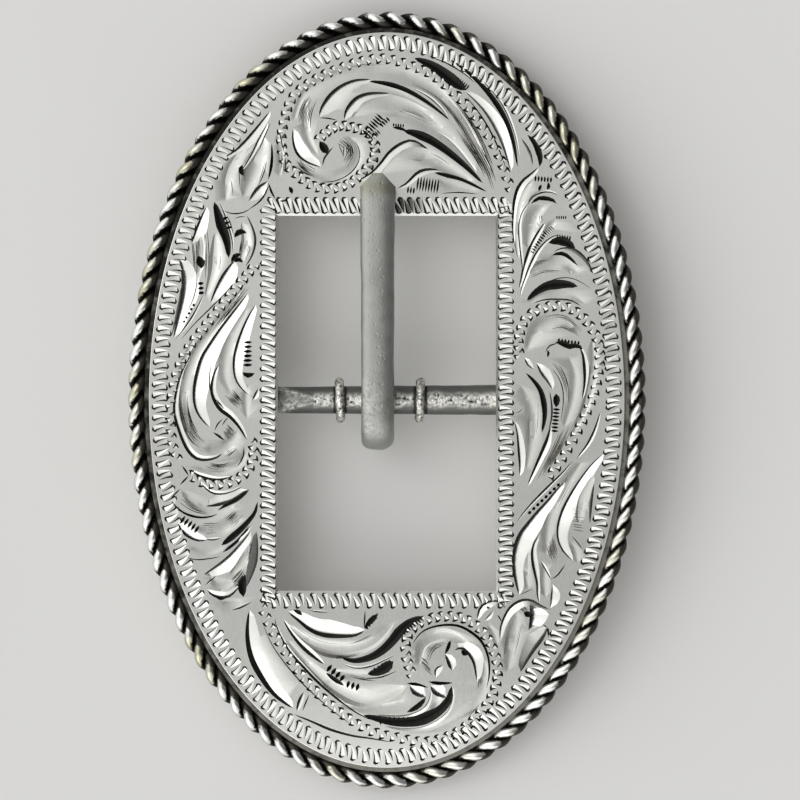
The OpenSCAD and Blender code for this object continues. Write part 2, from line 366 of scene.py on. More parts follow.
# Layout of the scrolls, millimetres from the middle of the oval. A list of points has x and y by turns.
# hollows: width of a shallow leaf body, where it is widest, points
# cuts: dark line's width, facet's width (+ right of the stroke, - left), where it is widest, points
# shades: width of a dark strip, where it is widest, points
# ribs: how many, half length, from, to
# hairs: how many, one edge of the shading, the other edge
# beads: a beaded line's first and last pitch, points
scrolls = {}
scrolls["top"] = {
    "hollows": [
        (1.5, 0.5, [-8.6, 25.6, -7.6, 28.2, -5.4, 29.6, -2.6, 30.4, 1, 30.1, 4.4, 28.5, 7.2, 25.4, 9.6,
         20.6]),
        (1.1, 0.4, [-5.7, 26.4, -4.8, 27.9, -2.6, 28.8, 0.6, 28.4, 4, 26.7]),
        (1.5, 0.4, [-3.2, 25.9, -2.2, 27.1, -0.2, 27.5, 2.6, 26.8, 5.6, 24.4]),
        (1.3, 0.4, [0.4, 26.3, 2.4, 26, 4.6, 24.9, 6.6, 23.1, 8.2, 21.1]),
        (1.5, 0.5, [-0.6, 20.8, 0.8, 22.4, 3, 22.6, 5.8, 21.2, 7.9, 20]),
        (1, 0.4, [4.6, 20.2, 6.4, 19.6, 8.4, 19.2]),
        (1.2, 0.5, [-8, 22.2, -6.8, 20.9, -4.8, 20.5, -3.1, 21.4, -2.6, 23, -3.6, 24.3]),
        (0.9, 0.5, [-7.4, 27.6, -7.5, 25.8, -7.2, 24, -6.3, 22.4]),
    ],
    "cuts": [
        (0.17, 1.35, 0.3, [-6.2, 26, -6, 26.8, -5.2, 28, -4.2, 28.85, -2.9, 29.4, -1.4, 29.5]),
        (0.17, 0.95, 0.3, [-3.9, 25.7, -3.75, 26.5, -3.3, 27.2, -2.6, 27.85, -1.4, 28.2, 0.4, 28.2]),
        (0.19, -1, 0.5, [-8.6, 25, -8.55, 23.9, -8.2, 22.8, -7.4, 22, -6, 21.4]),
        (0.12, 0, 0.5, [-3.1, 24, -2.55, 23, -2.6, 21.9, -3.4, 20.8, -4.8, 20.1, -6.3, 20]),
        (0.2, 0.75, 0.6, [-2.8, 20, -1.4, 20.8, -0.5, 21.7, 0.3, 22.7, 1.4, 23.5, 2.4, 23.75, 3.7, 23.1]),
        (0.2, 0.4, 0.6, [0.9, 19.4, 1.8, 19.8, 2.9, 20.8, 3.9, 21.1, 4.9, 21.05]),
        (0.14, -0.95, 0.5, [7.2, 28.4, 8.1, 27.6, 9, 26.6, 9.9, 25.2, 10.7, 23.4, 11.4, 21]),
        (0.12, 0, 0.5, [7.3, 27.9, 8.4, 26.5, 9.4, 24.9, 10.3, 23, 11, 21.1]),
        (0.1, 0, 0.5, [-6.3, 25.95, -5.4, 25.9, -4.5, 25.7]),
        (0.06, -0.42, 0.3, [4.5, 24.8, 5.9, 23.7, 7, 22.5, 8.3, 20.8]),
        (0.05, -0.2, 0.5, [7.6, 30.5, 9.2, 29, 10.7, 27, 11.7, 24.6, 12.2, 22.2]),
        (0.08, -0.16, 0.5, [3.6, 31.8, 5.6, 31, 7.2, 30, 8.2, 29.1]),
        (0.07, 0.12, 0.5, [-4.9, 23.3, -5.4, 22.7, -5.8, 22.1, -5.9, 21.4]),
        (0.09, 0, 0.5, [4.9, 18.95, 6.6, 19.05, 8.4, 18.9]),
        (0.05, -0.22, 0.5, [2.4, 28.7, 3.8, 27.9, 4.9, 26.9, 5.7, 25.9]),
    ],
    "shades": [
        (0.5, 0.25, [-1.7, 29.35, 0, 29.1, 1.6, 28.6, 3.1, 27.8, 4.5, 26.8, 5.8, 25.7]),
        (0.85, 0.6, [-6.2, 23.8, -5.8, 23.2, -5.4, 22.6]),
        (0.34, 0.4, [0.5, 25.05, 1.1, 25, 1.9, 24.7]),
        (0.85, 0.2, [1.5, 24.75, 2.6, 24.5, 4, 23.9, 5.5, 22.9, 7.2, 21.5, 8.8, 19.9]),
        (0.42, 0.25, [4.3, 20.9, 5.6, 20.6, 7, 20.2, 9.2, 19.1]),
        (1.15, 0.72, [2.5, 31.5, 4, 30.9, 5.2, 30.1, 6.2, 29.3, 7.3, 28.5]),
        (0.52, 0.5, [5.7, 31.4, 7.2, 30.4, 8.6, 29.1, 9.9, 27.5, 10.9, 25.8, 11.6, 23.8, 12, 21.4]),
        (0.36, 0.4, [-2.3, 24.75, -1.9, 24.5, -1.4, 24]),
        (0.26, 0.5, [2.5, 23.7, 3.1, 23.4, 3.8, 23.05]),
    ],
    "ribs": [
        (8, 0.55, (-2, 24.4), (-0.5, 26.1)),
        (4, 0.3, (-0.6, 25.2), (0.2, 25.9)),
        (5, 0.3, (-1.5, 24), (-0.7, 24.7)),
        (6, 0.35, (6.4, 29.5), (7.5, 28.7)),
        (8, 0.75, (2.7, 19.9), (4.8, 19.6)),
        (3, 0.35, (1.8, 19.3), (2.6, 19.2)),
        (5, 0.2, (0.5, 25.3), (1.6, 25.2)),
    ],
    "hairs": [
        (12, [1, 29.6, 4.4, 27.9, 6.6, 25.2, 8.9, 20.6], [4.2, 29.5, 6.6, 27.2, 8.6, 24.4, 10.4, 20]),
        (8, [5.8, 25.2, 7.2, 23.4, 8.6, 21.2, 9.4, 19.2], [7.6, 25, 8.8, 23, 9.8, 21, 10.3, 18.9]),
        (6, [-8.3, 25.2, -8.1, 26.6, -7.3, 28.2], [-7, 24.4, -6.9, 26.2, -6.3, 27.8]),
        (7, [-4.7, 23.6, -4, 23.2, -4, 22.6, -4.5, 22.1], [-4.2, 24.3, -3.2, 23.4, -3.1, 22.2, -3.8, 21.3]),
        (5, [-8.8, 21.9, -7.8, 20.9, -6.4, 20.3], [-8, 22.2, -7.2, 21.4, -6, 20.9]),
        (4, [1, 27.5, 3.6, 26.3, 5.8, 24.3], [0.9, 26.6, 3.2, 25.6, 5.2, 24.2]),
        (6, [2.2, 23.2, 4.4, 22.6, 6.6, 21], [1.6, 21.8, 4, 21.9, 6.6, 20.7]),
        (4, [-4.6, 30.4, -1.6, 31, 1.6, 30.6], [-4.6, 29.6, -1.6, 30.2, 1.6, 29.9]),
    ],
    "beads": [
        (0.66, 1.1, [-6.2, 24, -5.4, 24.7, -4.3, 25.2, -3, 25, -1.8, 24.6, -1.15, 23.5, -1.2, 22.2, -2,
         21.1, -3.3, 19.95, -5, 19.4, -6.8, 19.65, -8.3, 20.7, -9.4, 21.9, -9.7, 23.9, -9.3, 26.2, -8.6,
         27.9, -7.2, 29.1, -5.6, 30, -3.8, 30.7, -2, 31.25, 0, 31.4, 2.4, 30.7, 4, 30, 5.3, 29, 6.6, 27.8,
         7.7, 26.6, 8.7, 25.2, 9.6, 23.8, 10.3, 22.4, 10.8, 21, 11.3, 19.4]),
    ],
}
scrolls["right"] = {
    "hollows": [
        (0.9, 0.4, [13.4, 20.2, 12.5, 18.9, 12, 17.2, 11.9, 15, 12.1, 12.8]),
        (1.5, 0.4, [14.6, 17.9, 13.6, 17, 13.1, 15.4, 12.9, 13.8]),
        (0.8, 0.5, [15.6, 16.6, 15, 15.9, 14.3, 14.9]),
        (1.5, 0.5, [12.9, 11.6, 14.6, 12.4, 16.3, 12.6, 17.6, 11.6]),
        (0.4, 0.5, [16.4, 13, 16.7, 12.2, 16.95, 11.3]),
        (1, 0.5, [12.9, 8.9, 14.2, 9.6, 15.6, 9.7, 17, 9.6, 18.3, 8.8]),
        (1.6, 0.5, [12.8, 4.6, 13.8, 6.6, 15.6, 7.2, 17.2, 6.6]),
        (1, 0.5, [18.8, 5.6, 18.9, 2.8, 18.2, -0.6, 16.9, -3.4]),
        (1.4, 0.4, [12.2, 1.4, 13.2, -0.6, 13.3, -3.2, 12.8, -6.4]),
        (1, 0.4, [16.6, 4, 17.2, 2.4, 17, 0, 16.2, -2.6]),
    ],
    "cuts": [
        (0.22, -0.5, 0.35, [14, 21.4, 13.3, 20.7, 12.6, 20.1, 12.1, 19.3, 11.8, 18.2, 11.65, 16.8, 11.62,
         15.4, 11.75, 14.2]),
        (0.08, -0.25, 0.4, [13.1, 18.1, 12.5, 17.4, 12.15, 16.4, 12.1, 15.2, 12.25, 13.6, 12.45, 11.9, 12.4,
         10.6]),
        (0.1, -0.18, 0.5, [12.9, 17.9, 13.3, 18.6, 13.9, 19, 14.6, 19.15, 15.3, 19.05, 15.8, 18.75]),
        (0.2, -0.32, 0.45, [14.6, 16.4, 13.9, 15.3, 13.35, 14.3, 12.95, 13.2, 12.6, 12.1, 12.35, 11, 12.1,
         10.1]),
        (0.12, -0.24, 0.5, [16.3, 15.1, 15.5, 15.05, 14.7, 14.6, 13.9, 13.7, 13.3, 12.6, 12.8, 11.4, 12.4,
         10.3, 12.2, 9.4]),
        (0.14, 0.26, 0.5, [15.2, 13.5, 16, 13.85, 16.9, 13.85, 17.7, 13.4, 18.4, 12.6, 18.9, 11.6]),
        (0.07, 0, 0.5, [13.3, 9.6, 14.4, 10.6, 15.5, 11.1, 16.7, 11.2, 17.8, 10.8, 18.8, 10.1]),
        (0.1, 0.16, 0.5, [13.3, 8.8, 14.4, 9.15, 15.7, 9.2, 16.9, 9.1, 17.8, 8.6]),
        (0.1, 0, 0.5, [14.5, 4.3, 14.8, 4.9, 15.3, 5.1, 15.8, 5.3]),
        (0.22, -0.28, 0.4, [17.6, 5, 18, 4.3, 18.2, 3.3, 18.25, 2.2, 18.15, 1.1, 17.9, 0]),
        (0.08, -0.85, 0.4, [13.7, 3.4, 14.1, 2.5, 14.7, 1.7, 15.2, 0.9]),
        (0.06, -0.5, 0.4, [12.6, 3.9, 12.9, 3.2, 13.5, 2.8]),
        (0.08, 0, 0.4, [15.1, 2.9, 15.7, 2.1, 16.1, 1, 16.15, -0.4, 15.9, -2]),
        (0.06, 0.12, 0.5, [14.9, 0.9, 15.1, -0.4, 15.1, -1.6, 14.8, -2.9]),
        (0.24, -0.35, 0.3, [15.05, -2.4, 14.75, -3.8, 14.1, -5.3, 13.5, -6.6, 12.9, -7.9]),
        (0.16, -0.55, 0.6, [11.7, -1.9, 12, -3, 12.15, -4.4, 12.25, -5.8, 12.2, -7]),
        (0.05, 0, 0.5, [11.7, -1.2, 12.1, -1.1, 12.5, -0.7]),
        (0.14, -0.2, 0.5, [19.6, -1, 19.1, -2.7, 18.4, -4.1, 17.3, -5.5]),
        (0.05, 0.2, 0.5, [12.3, 24.1, 12.9, 23.3, 13.3, 22.4, 13.4, 21.5]),
    ],
    "shades": [
        (0.6, 0.6, [12.9, 24.4, 13.5, 23.7, 13.9, 22.9, 14.1, 22.1, 14, 21.4]),
        (0.3, 0.5, [13.95, 19.15, 14.05, 19.5, 14.2, 19.8]),
        (0.35, 0.4, [14.7, 19.3, 14.85, 19.6, 14.8, 20]),
        (0.45, 0.55, [13.2, 18, 13.9, 18.5, 14.6, 18.5, 15.2, 18.35, 15.6, 18]),
        (0.9, 0.5, [14.8, 14.4, 15.6, 14.6, 16.4, 14.5, 17.3, 13.9]),
        (0.42, 0.4, [15.1, 13.25, 15.8, 13.45, 16.4, 13.3, 17, 12.8, 17.5, 12.3]),
        (0.95, 0.6, [12.8, 9.1, 13.7, 9.9, 14.7, 10.45, 15.7, 10.6, 16.6, 10.6, 17.5, 10.4]),
        (0.6, 0.35, [15.4, 5.3, 16.1, 5.2, 16.8, 4.9, 17.5, 5, 18, 4.5]),
        (0.25, 0.5, [14.7, 4.6, 14.8, 4.3, 14.7, 3.9]),
        (0.55, 0.55, [12.7, 2.5, 13.5, 1.7, 14.1, 0.8, 14.4, -0.4, 14.45, -1.6, 14.2, -3]),
        (0.7, 0.4, [15.5, 0.6, 15.55, 0, 15.5, -0.7]),
    ],
    "ribs": [
        (6, 0.3, (13.5, 20.35), (15.2, 20.2)),
        (9, 0.28, (13.2, 13.5), (14.6, 15.4)),
        (5, 0.38, (14.5, 15.2), (15.2, 15.9)),
        (5, 0.18, (15.5, 16.75), (16.5, 16.75)),
        (6, 0.3, (15.5, 14.95), (16.9, 14.8)),
        (7, 0.2, (15.6, 5.5), (17.7, 5.2)),
        (7, 0.36, (15.55, -0.7), (15.35, -3)),
        (7, 0.25, (13.7, 9.9), (15, 10.4)),
    ],
    "hairs": [
        (4, [13.2, 17.4, 13.2, 16, 13.5, 15], [14.2, 17.6, 14.2, 16.8, 14.5, 16.2]),
        (7, [13.1, 12.7, 14.4, 12.9, 16, 12.8], [13, 11, 14.4, 11.7, 16.2, 11.6]),
        (7, [14, 7.4, 15.6, 7.9, 17, 7.4, 18, 6.4], [14.6, 6.3, 15.8, 6.6, 16.8, 6.2, 17.8, 5.5]),
        (3, [18.6, 4.4, 18.9, 2.4, 18.4, -0.6, 16.9, -3.2], [18.5, 3.2, 18.5, 1.8, 18, -0.2, 16.6, -3]),
        (6, [15.8, -2.8, 15.2, -4.3, 14.3, -6.2, 13.6, -7.6], [17.4, -1.6, 16.5, -3.6, 15.3, -5.6, 14.3,
         -7.2]),
        (3, [15, 3.6, 15.7, 2.6, 16.3, 1.2, 16.4, 0], [15.4, 3.8, 16.2, 2.8, 16.7, 1.2, 16.6, -0.6]),
        (4, [13, -0.6, 12.9, -2.6, 12.7, -4.6], [13.8, 0.2, 13.9, -2, 13.4, -4.6]),
    ],
    "beads": [
        (0.8, 1, [12.1, 4.2, 12.1, 5.6, 12.6, 7.2, 13.6, 8.1, 15.2, 8.6, 16.7, 8.4, 18.1, 7.4, 19.2, 5.7,
         19.5, 3.9, 19.2, 1.4, 18.4, -0.9, 17.2, -3.4, 15.8, -5.8, 14.8, -7.1]),
    ],
}
scrolls["lowerRight"] = {
    "hollows": [
        (1.3, 0.6, [17.9, -5.6, 16.2, -8.2, 14.9, -10.8, 14.6, -14.2]),
        (1.3, 0.5, [19, -6.8, 17.9, -9, 17.6, -11.4]),
        (1.1, 0.5, [12.9, -12.7, 12.7, -15.4, 13, -17.4]),
        (1.5, 0.4, [12, -19.3, 11.5, -22, 11.1, -25]),
        (1.1, 0.5, [14.5, -15, 14.4, -16.6, 14.6, -18.2]),
        (0.9, 0.5, [16.8, -13, 17.3, -13.9, 17.5, -15]),
        (0.9, 0.5, [9.2, -20.6, 9.8, -21.4, 10.2, -22.6]),
    ],
    "cuts": [
        (0.13, -0.12, 0.5, [17.1, -5.5, 16.2, -6.6, 15, -7.8, 13.6, -9.2, 12.6, -10.3, 11.9, -11.2]),
        (0.24, -1.35, 0.6, [16.4, -7.4, 15.6, -8.3, 14.8, -9.3, 13.9, -10.3, 13.1, -11.3, 12.3, -12.4,
         11.85, -13.7, 11.7, -15, 11.85, -16.4, 12.15, -17.9]),
        (0.18, -0.4, 0.4, [14, -12.4, 13.5, -13.3, 13.4, -14.3, 13.6, -15.6, 13.85, -16.8, 13.85, -17.8, 14,
         -18.7]),
        (0.1, -0.2, 0.5, [14.1, -14.7, 14.6, -15.6, 15.1, -16.5]),
        (0.07, -0.14, 0.5, [15, -16.4, 15.6, -16.1, 16.4, -15]),
        (0.17, -1.15, 0.55, [19.9, -4.9, 18.9, -5.85, 18, -7, 17.1, -8.4, 16.3, -9.9, 15.8, -11.4, 15.75,
         -12.7, 16.2, -13.8, 17.1, -14.8]),
        (0.08, 0.2, 0.5, [19, -7.6, 18.75, -9.4, 18.6, -11.4]),
        (0.08, 0, 0.5, [16.9, -12.4, 17.5, -13.1, 18, -13.8]),
        (0.2, 0.6, 0.55, [10.4, -22.1, 10.5, -21, 10.8, -20.1, 11.25, -19.3, 11.8, -18.8, 12.6, -18.45,
         13.4, -18.55, 14, -18.9, 15, -19.3]),
        (0.18, 0.5, 0.4, [8.3, -20.2, 8.6, -19.2, 9.1, -18.75, 9.8, -18.5, 10.4, -18.65, 10.9, -19.1]),
        (0.03, -1.75, 0.42, [13.1, -18.7, 13.15, -19.8, 13, -21.1]),
        (0.08, 1.3, 0.35, [14.8, -20.7, 14.4, -21.8, 13.4, -23.2, 12.3, -25]),
        (0.16, 0, 0.5, [14.3, -20.6, 14.75, -21, 14.85, -21.8]),
        (0.06, 0, 0.5, [12.1, -17.9, 12.7, -17.65, 13.4, -17.3]),
        (0.02, -0.95, 0.5, [15.2, -16.9, 15.05, -17.9, 15, -19.1]),
        (0.06, 0.3, 0.5, [8.9, -20.3, 9.4, -19.8, 9.8, -19.3]),
        (0.1, 0, 0.5, [10.1, -19.7, 10.35, -20, 10.55, -20.4]),
    ],
    "shades": [
        (0.6, 0.5, [12.55, -19.5, 12.9, -19.65, 13.15, -19.95]),
        (0.3, 0.4, [13.7, -10.5, 13.1, -11.3, 12.5, -12.1]),
        (0.25, 0.5, [15.9, -13, 16.1, -13.7, 16.7, -14.4]),
    ],
    "ribs": [
        (8, 0.16, (15.9, -7.6), (12.9, -10.5)),
    ],
    "hairs": [
        (8, [17.1, -9.2, 17.8, -9.1, 18.5, -9.2], [16.8, -11.9, 17.5, -12, 18.2, -12.2]),
        (6, [15.3, -12.2, 15.5, -13.4, 15.9, -14.8], [14.5, -12.8, 14.8, -14, 15.2, -15.2]),
        (4, [13, -12.6, 12.9, -14.4, 13, -17], [12.4, -13.2, 12.2, -15, 12.5, -17]),
        (7, [11.2, -20.4, 10.9, -22, 10.6, -24.2], [12.5, -20, 12.2, -21.8, 11.6, -24]),
        (4, [16.6, -6.9, 15.6, -8.6, 14.8, -10.6], [17.2, -7.2, 16.2, -8.9, 15.3, -11]),
        (4, [12.1, -19, 12.3, -19.3, 12.6, -19.6], [12.5, -18.8, 12.8, -19.1, 13.1, -19.4]),
    ],
    "beads": [],
}
scrolls["bottom"] = {
    "hollows": [
        (1.5, 0.5, [-9.2, -20.6, -6.6, -22.4, -3.6, -22.9, -1.2, -22.2, 0.7, -20.3]),
        (1, 0.5, [-5.2, -24.9, -3.4, -25.25, -1.8, -25.3, -0.6, -25.35]),
        (1.9, 0.6, [-7.8, -23.8, -4.4, -26.6, -1.4, -27.6, 1.8, -26.3]),
        (1.1, 0.5, [-4.4, -28, -2.2, -28.3, 0.4, -28.1, 1.9, -27.6]),
        (1.6, 0.5, [2.9, -24.4, 3.4, -22.4, 5.4, -21.6, 7.6, -22.4]),
        (1.3, 0.4, [9, -23.8, 8.8, -26.6, 7, -29, 3.8, -30.6]),
        (0.9, 0.5, [-9.2, -22, -7.4, -24.1, -5.2, -26.3, -3.2, -28]),
        (1, 0.5, [4.9, -27, 4.6, -27.9, 3.9, -28.6]),
    ],
    "cuts": [
        (0.2, 0, 0.55, [2.3, -22.5, 3, -21.5, 4, -20.9, 5.4, -20.65, 6.6, -20.75, 7.7, -21.3, 8.7, -22.2,
         9.3, -23.6, 9.4, -25.2, 9.1, -26.8]),
        (0.28, 0, 0.4, [5.85, -22, 5.6, -22.8, 5.3, -23.4]),
        (0.22, -0.65, 0.6, [5.3, -23.3, 5.7, -23.9, 6, -24.9]),
        (0.16, -1.05, 0.45, [6.2, -23, 6.9, -22.75, 7.6, -23.3, 8.1, -24.3, 8.3, -25.9]),
        (0.14, 0.5, 0.5, [4.5, -25.5, 4.55, -24.8, 5.2, -24.4]),
        (0.24, 0, 0.4, [1.8, -26.05, 2.7, -26.15, 3.8, -26.45]),
        (0.26, 0, 0.35, [3.8, -25.9, 4.8, -26.05, 6.1, -26]),
        (0.14, -1.15, 0.5, [2.1, -26.2, 2.5, -26.95, 3.6, -27.35]),
        (0.14, -1.15, 0.5, [4, -26.2, 4.4, -26.95, 5.5, -27.4]),
        (0.06, -0.4, 0.5, [4, -26.6, 3.95, -27.4, 3.4, -28.35, 2.2, -28.95, 0.8, -29.1, -0.9, -28.95]),
        (0.03, -0.36, 0.5, [6, -26.3, 6.05, -27.4, 5.6, -28.6, 4.7, -29.45, 3.3, -30.1, 1.6, -30.25, -0.2,
         -30]),
        (0.3, -1.35, 0.55, [-9.1, -19.4, -8, -20.2, -7, -20.95, -5.8, -21.4, -4, -21.55, -2.9, -21.5, -2,
         -21.1]),
        (0.2, 0, 0.6, [-2.1, -21.1, -1.6, -20.5, -0.8, -19.5]),
        (0.24, -0.35, 0.65, [-9.5, -20.1, -8.9, -21.1, -8, -22.25, -7, -23.2, -5.7, -24.3]),
        (0.17, -0.15, 0.5, [-10.3, -19.9, -10, -21, -9, -22.9, -7.6, -24.5, -6, -26.15, -4.2, -27.7, -3,
         -28.6, -1.4, -29.5]),
        (0.09, 0, 0.5, [-11.5, -20.2, -10.7, -22.2, -9.6, -23.9, -8.2, -25.6, -6.8, -27, -5, -28.6, -3,
         -30.1]),
        (0.4, -1.35, 0.5, [-12.6, -19.3, -12.65, -21.5, -12.3, -23.4, -11.5, -25.1, -10.3, -26.9, -8.6,
         -28.35]),
        (0.2, -0.3, 0.5, [-7.6, -26.8, -8, -27.8, -8.3, -28.7]),
        (0.1, 0, 0.5, [-7.1, -27, -7.5, -27.9, -7.8, -28.7]),
        (0.16, -0.12, 0.35, [-8.6, -28.9, -7, -29.5, -5.1, -30.3, -3.2, -30.85, -1.6, -31.1, 0.4, -31.5]),
        (0.05, -0.2, 0.5, [-4.2, -24.2, -2.8, -24.65, -1.4, -24.45, -0.2, -23.9, 0.8, -23.4]),
        (0.05, -0.16, 0.5, [-2.2, -25.6, -0.6, -25.5, 0.9, -24.9]),
        (0.05, -0.14, 0.5, [-7.2, -19.3, -6.2, -19.45, -5.2, -19.45]),
        (0.12, 0, 0.6, [-2, -19.3, -2.05, -20.2, -2.1, -20.9]),
    ],
    "shades": [
        (0.6, 0.5, [6.85, -22.95, 7.1, -23.2, 7.5, -23.4]),
        (1.15, 0.42, [5.95, -26.3, 5.75, -27.4, 5.2, -28.2, 4.3, -28.9, 3.2, -29.4, 2, -29.6, 0.6, -29.6,
         -1, -29.3, -2.2, -29]),
        (0.55, 0.5, [1.8, -28.75, 2.6, -28.35, 3.2, -27.85, 3.6, -27.3]),
        (0.95, 0.7, [-4.3, -23.6, -3.2, -23.95, -2.2, -23.85, -1.2, -23.5, -0.3, -22.9, 0.5, -22.1, 1.3,
         -21.1, 2.2, -20.35, 3.3, -19.85]),
        (1.05, 0.72, [-1.9, -25.2, -1, -25.05, -0.2, -24.65, 0.6, -24]),
        (0.6, 0.6, [-2.1, -21, -1.6, -20.4, -0.8, -19.6]),
        (0.5, 0.5, [-8.6, -19.25, -8.15, -19.5, -7.7, -19.85]),
        (0.55, 0.55, [-5.7, -25, -4.8, -25.75, -3.8, -26.35]),
    ],
    "ribs": [
        (4, 0.42, (-5.5, -24.5), (-3.9, -25.7)),
        (3, 0.42, (-3.8, -26.1), (-2.5, -26.5)),
        (12, 0.42, (0.2, -22.3), (3, -20.1)),
        (9, 0.45, (3, -29.4), (-0.8, -29.5)),
        (5, 0.4, (-1.2, -25), (0.5, -24.1)),
        (5, 0.3, (-2, -21), (-1, -19.8)),
    ],
    "hairs": [
        (12, [-9.2, -20.2, -6.4, -22, -3.2, -22.3, -0.6, -20.9], [-8.2, -21.8, -6, -23.5, -3.4, -23.7, -1.2,
         -22.8]),
        (8, [-8.7, -23, -5.6, -26.4, -2.2, -28.4, 1.2, -28.2], [-6.6, -24.4, -4.4, -26.9, -1.6, -27.7, 0.8,
         -27.3]),
        (9, [2.5, -23.1, 3.9, -21.6, 5.6, -21.1, 7.6, -22.1], [3.9, -24.2, 4.2, -23.2, 4.9, -22.6, 5.3,
         -22.5]),
        (4, [8.3, -25.1, 8.4, -26, 8.2, -27], [8.9, -25, 8.9, -25.9, 8.7, -27]),
        (6, [9, -27.1, 8.1, -28.6, 6.5, -29.8], [8.3, -27.6, 7.4, -28.8, 5.8, -29.8]),
        (5, [3.2, -24.6, 4, -25, 4.4, -25.6], [2.6, -23.2, 3.4, -23.6, 3.9, -24.4]),
        (5, [-4.8, -24.9, -3, -25.3, -1.2, -25.5], [-4, -25.3, -2.4, -25.7, -0.4, -25.9]),
    ],
    "beads": [
        (0.78, 1.05, [2.2, -25.1, 1.7, -23.1, 2.2, -21.2, 3.9, -20.1, 6.3, -19.9, 8, -20.6, 9.4, -22.2,
         10.1, -24.2, 10.1, -26, 9.3, -27.9, 7.6, -29.8, 5.6, -31, 3.3, -31.5, 0.9, -31.1, -1.8, -30.35,
         -4.8, -28.4, -7.4, -25.9, -9.3, -23.2, -10.8, -20.7, -11.5, -18.8]),
    ],
}
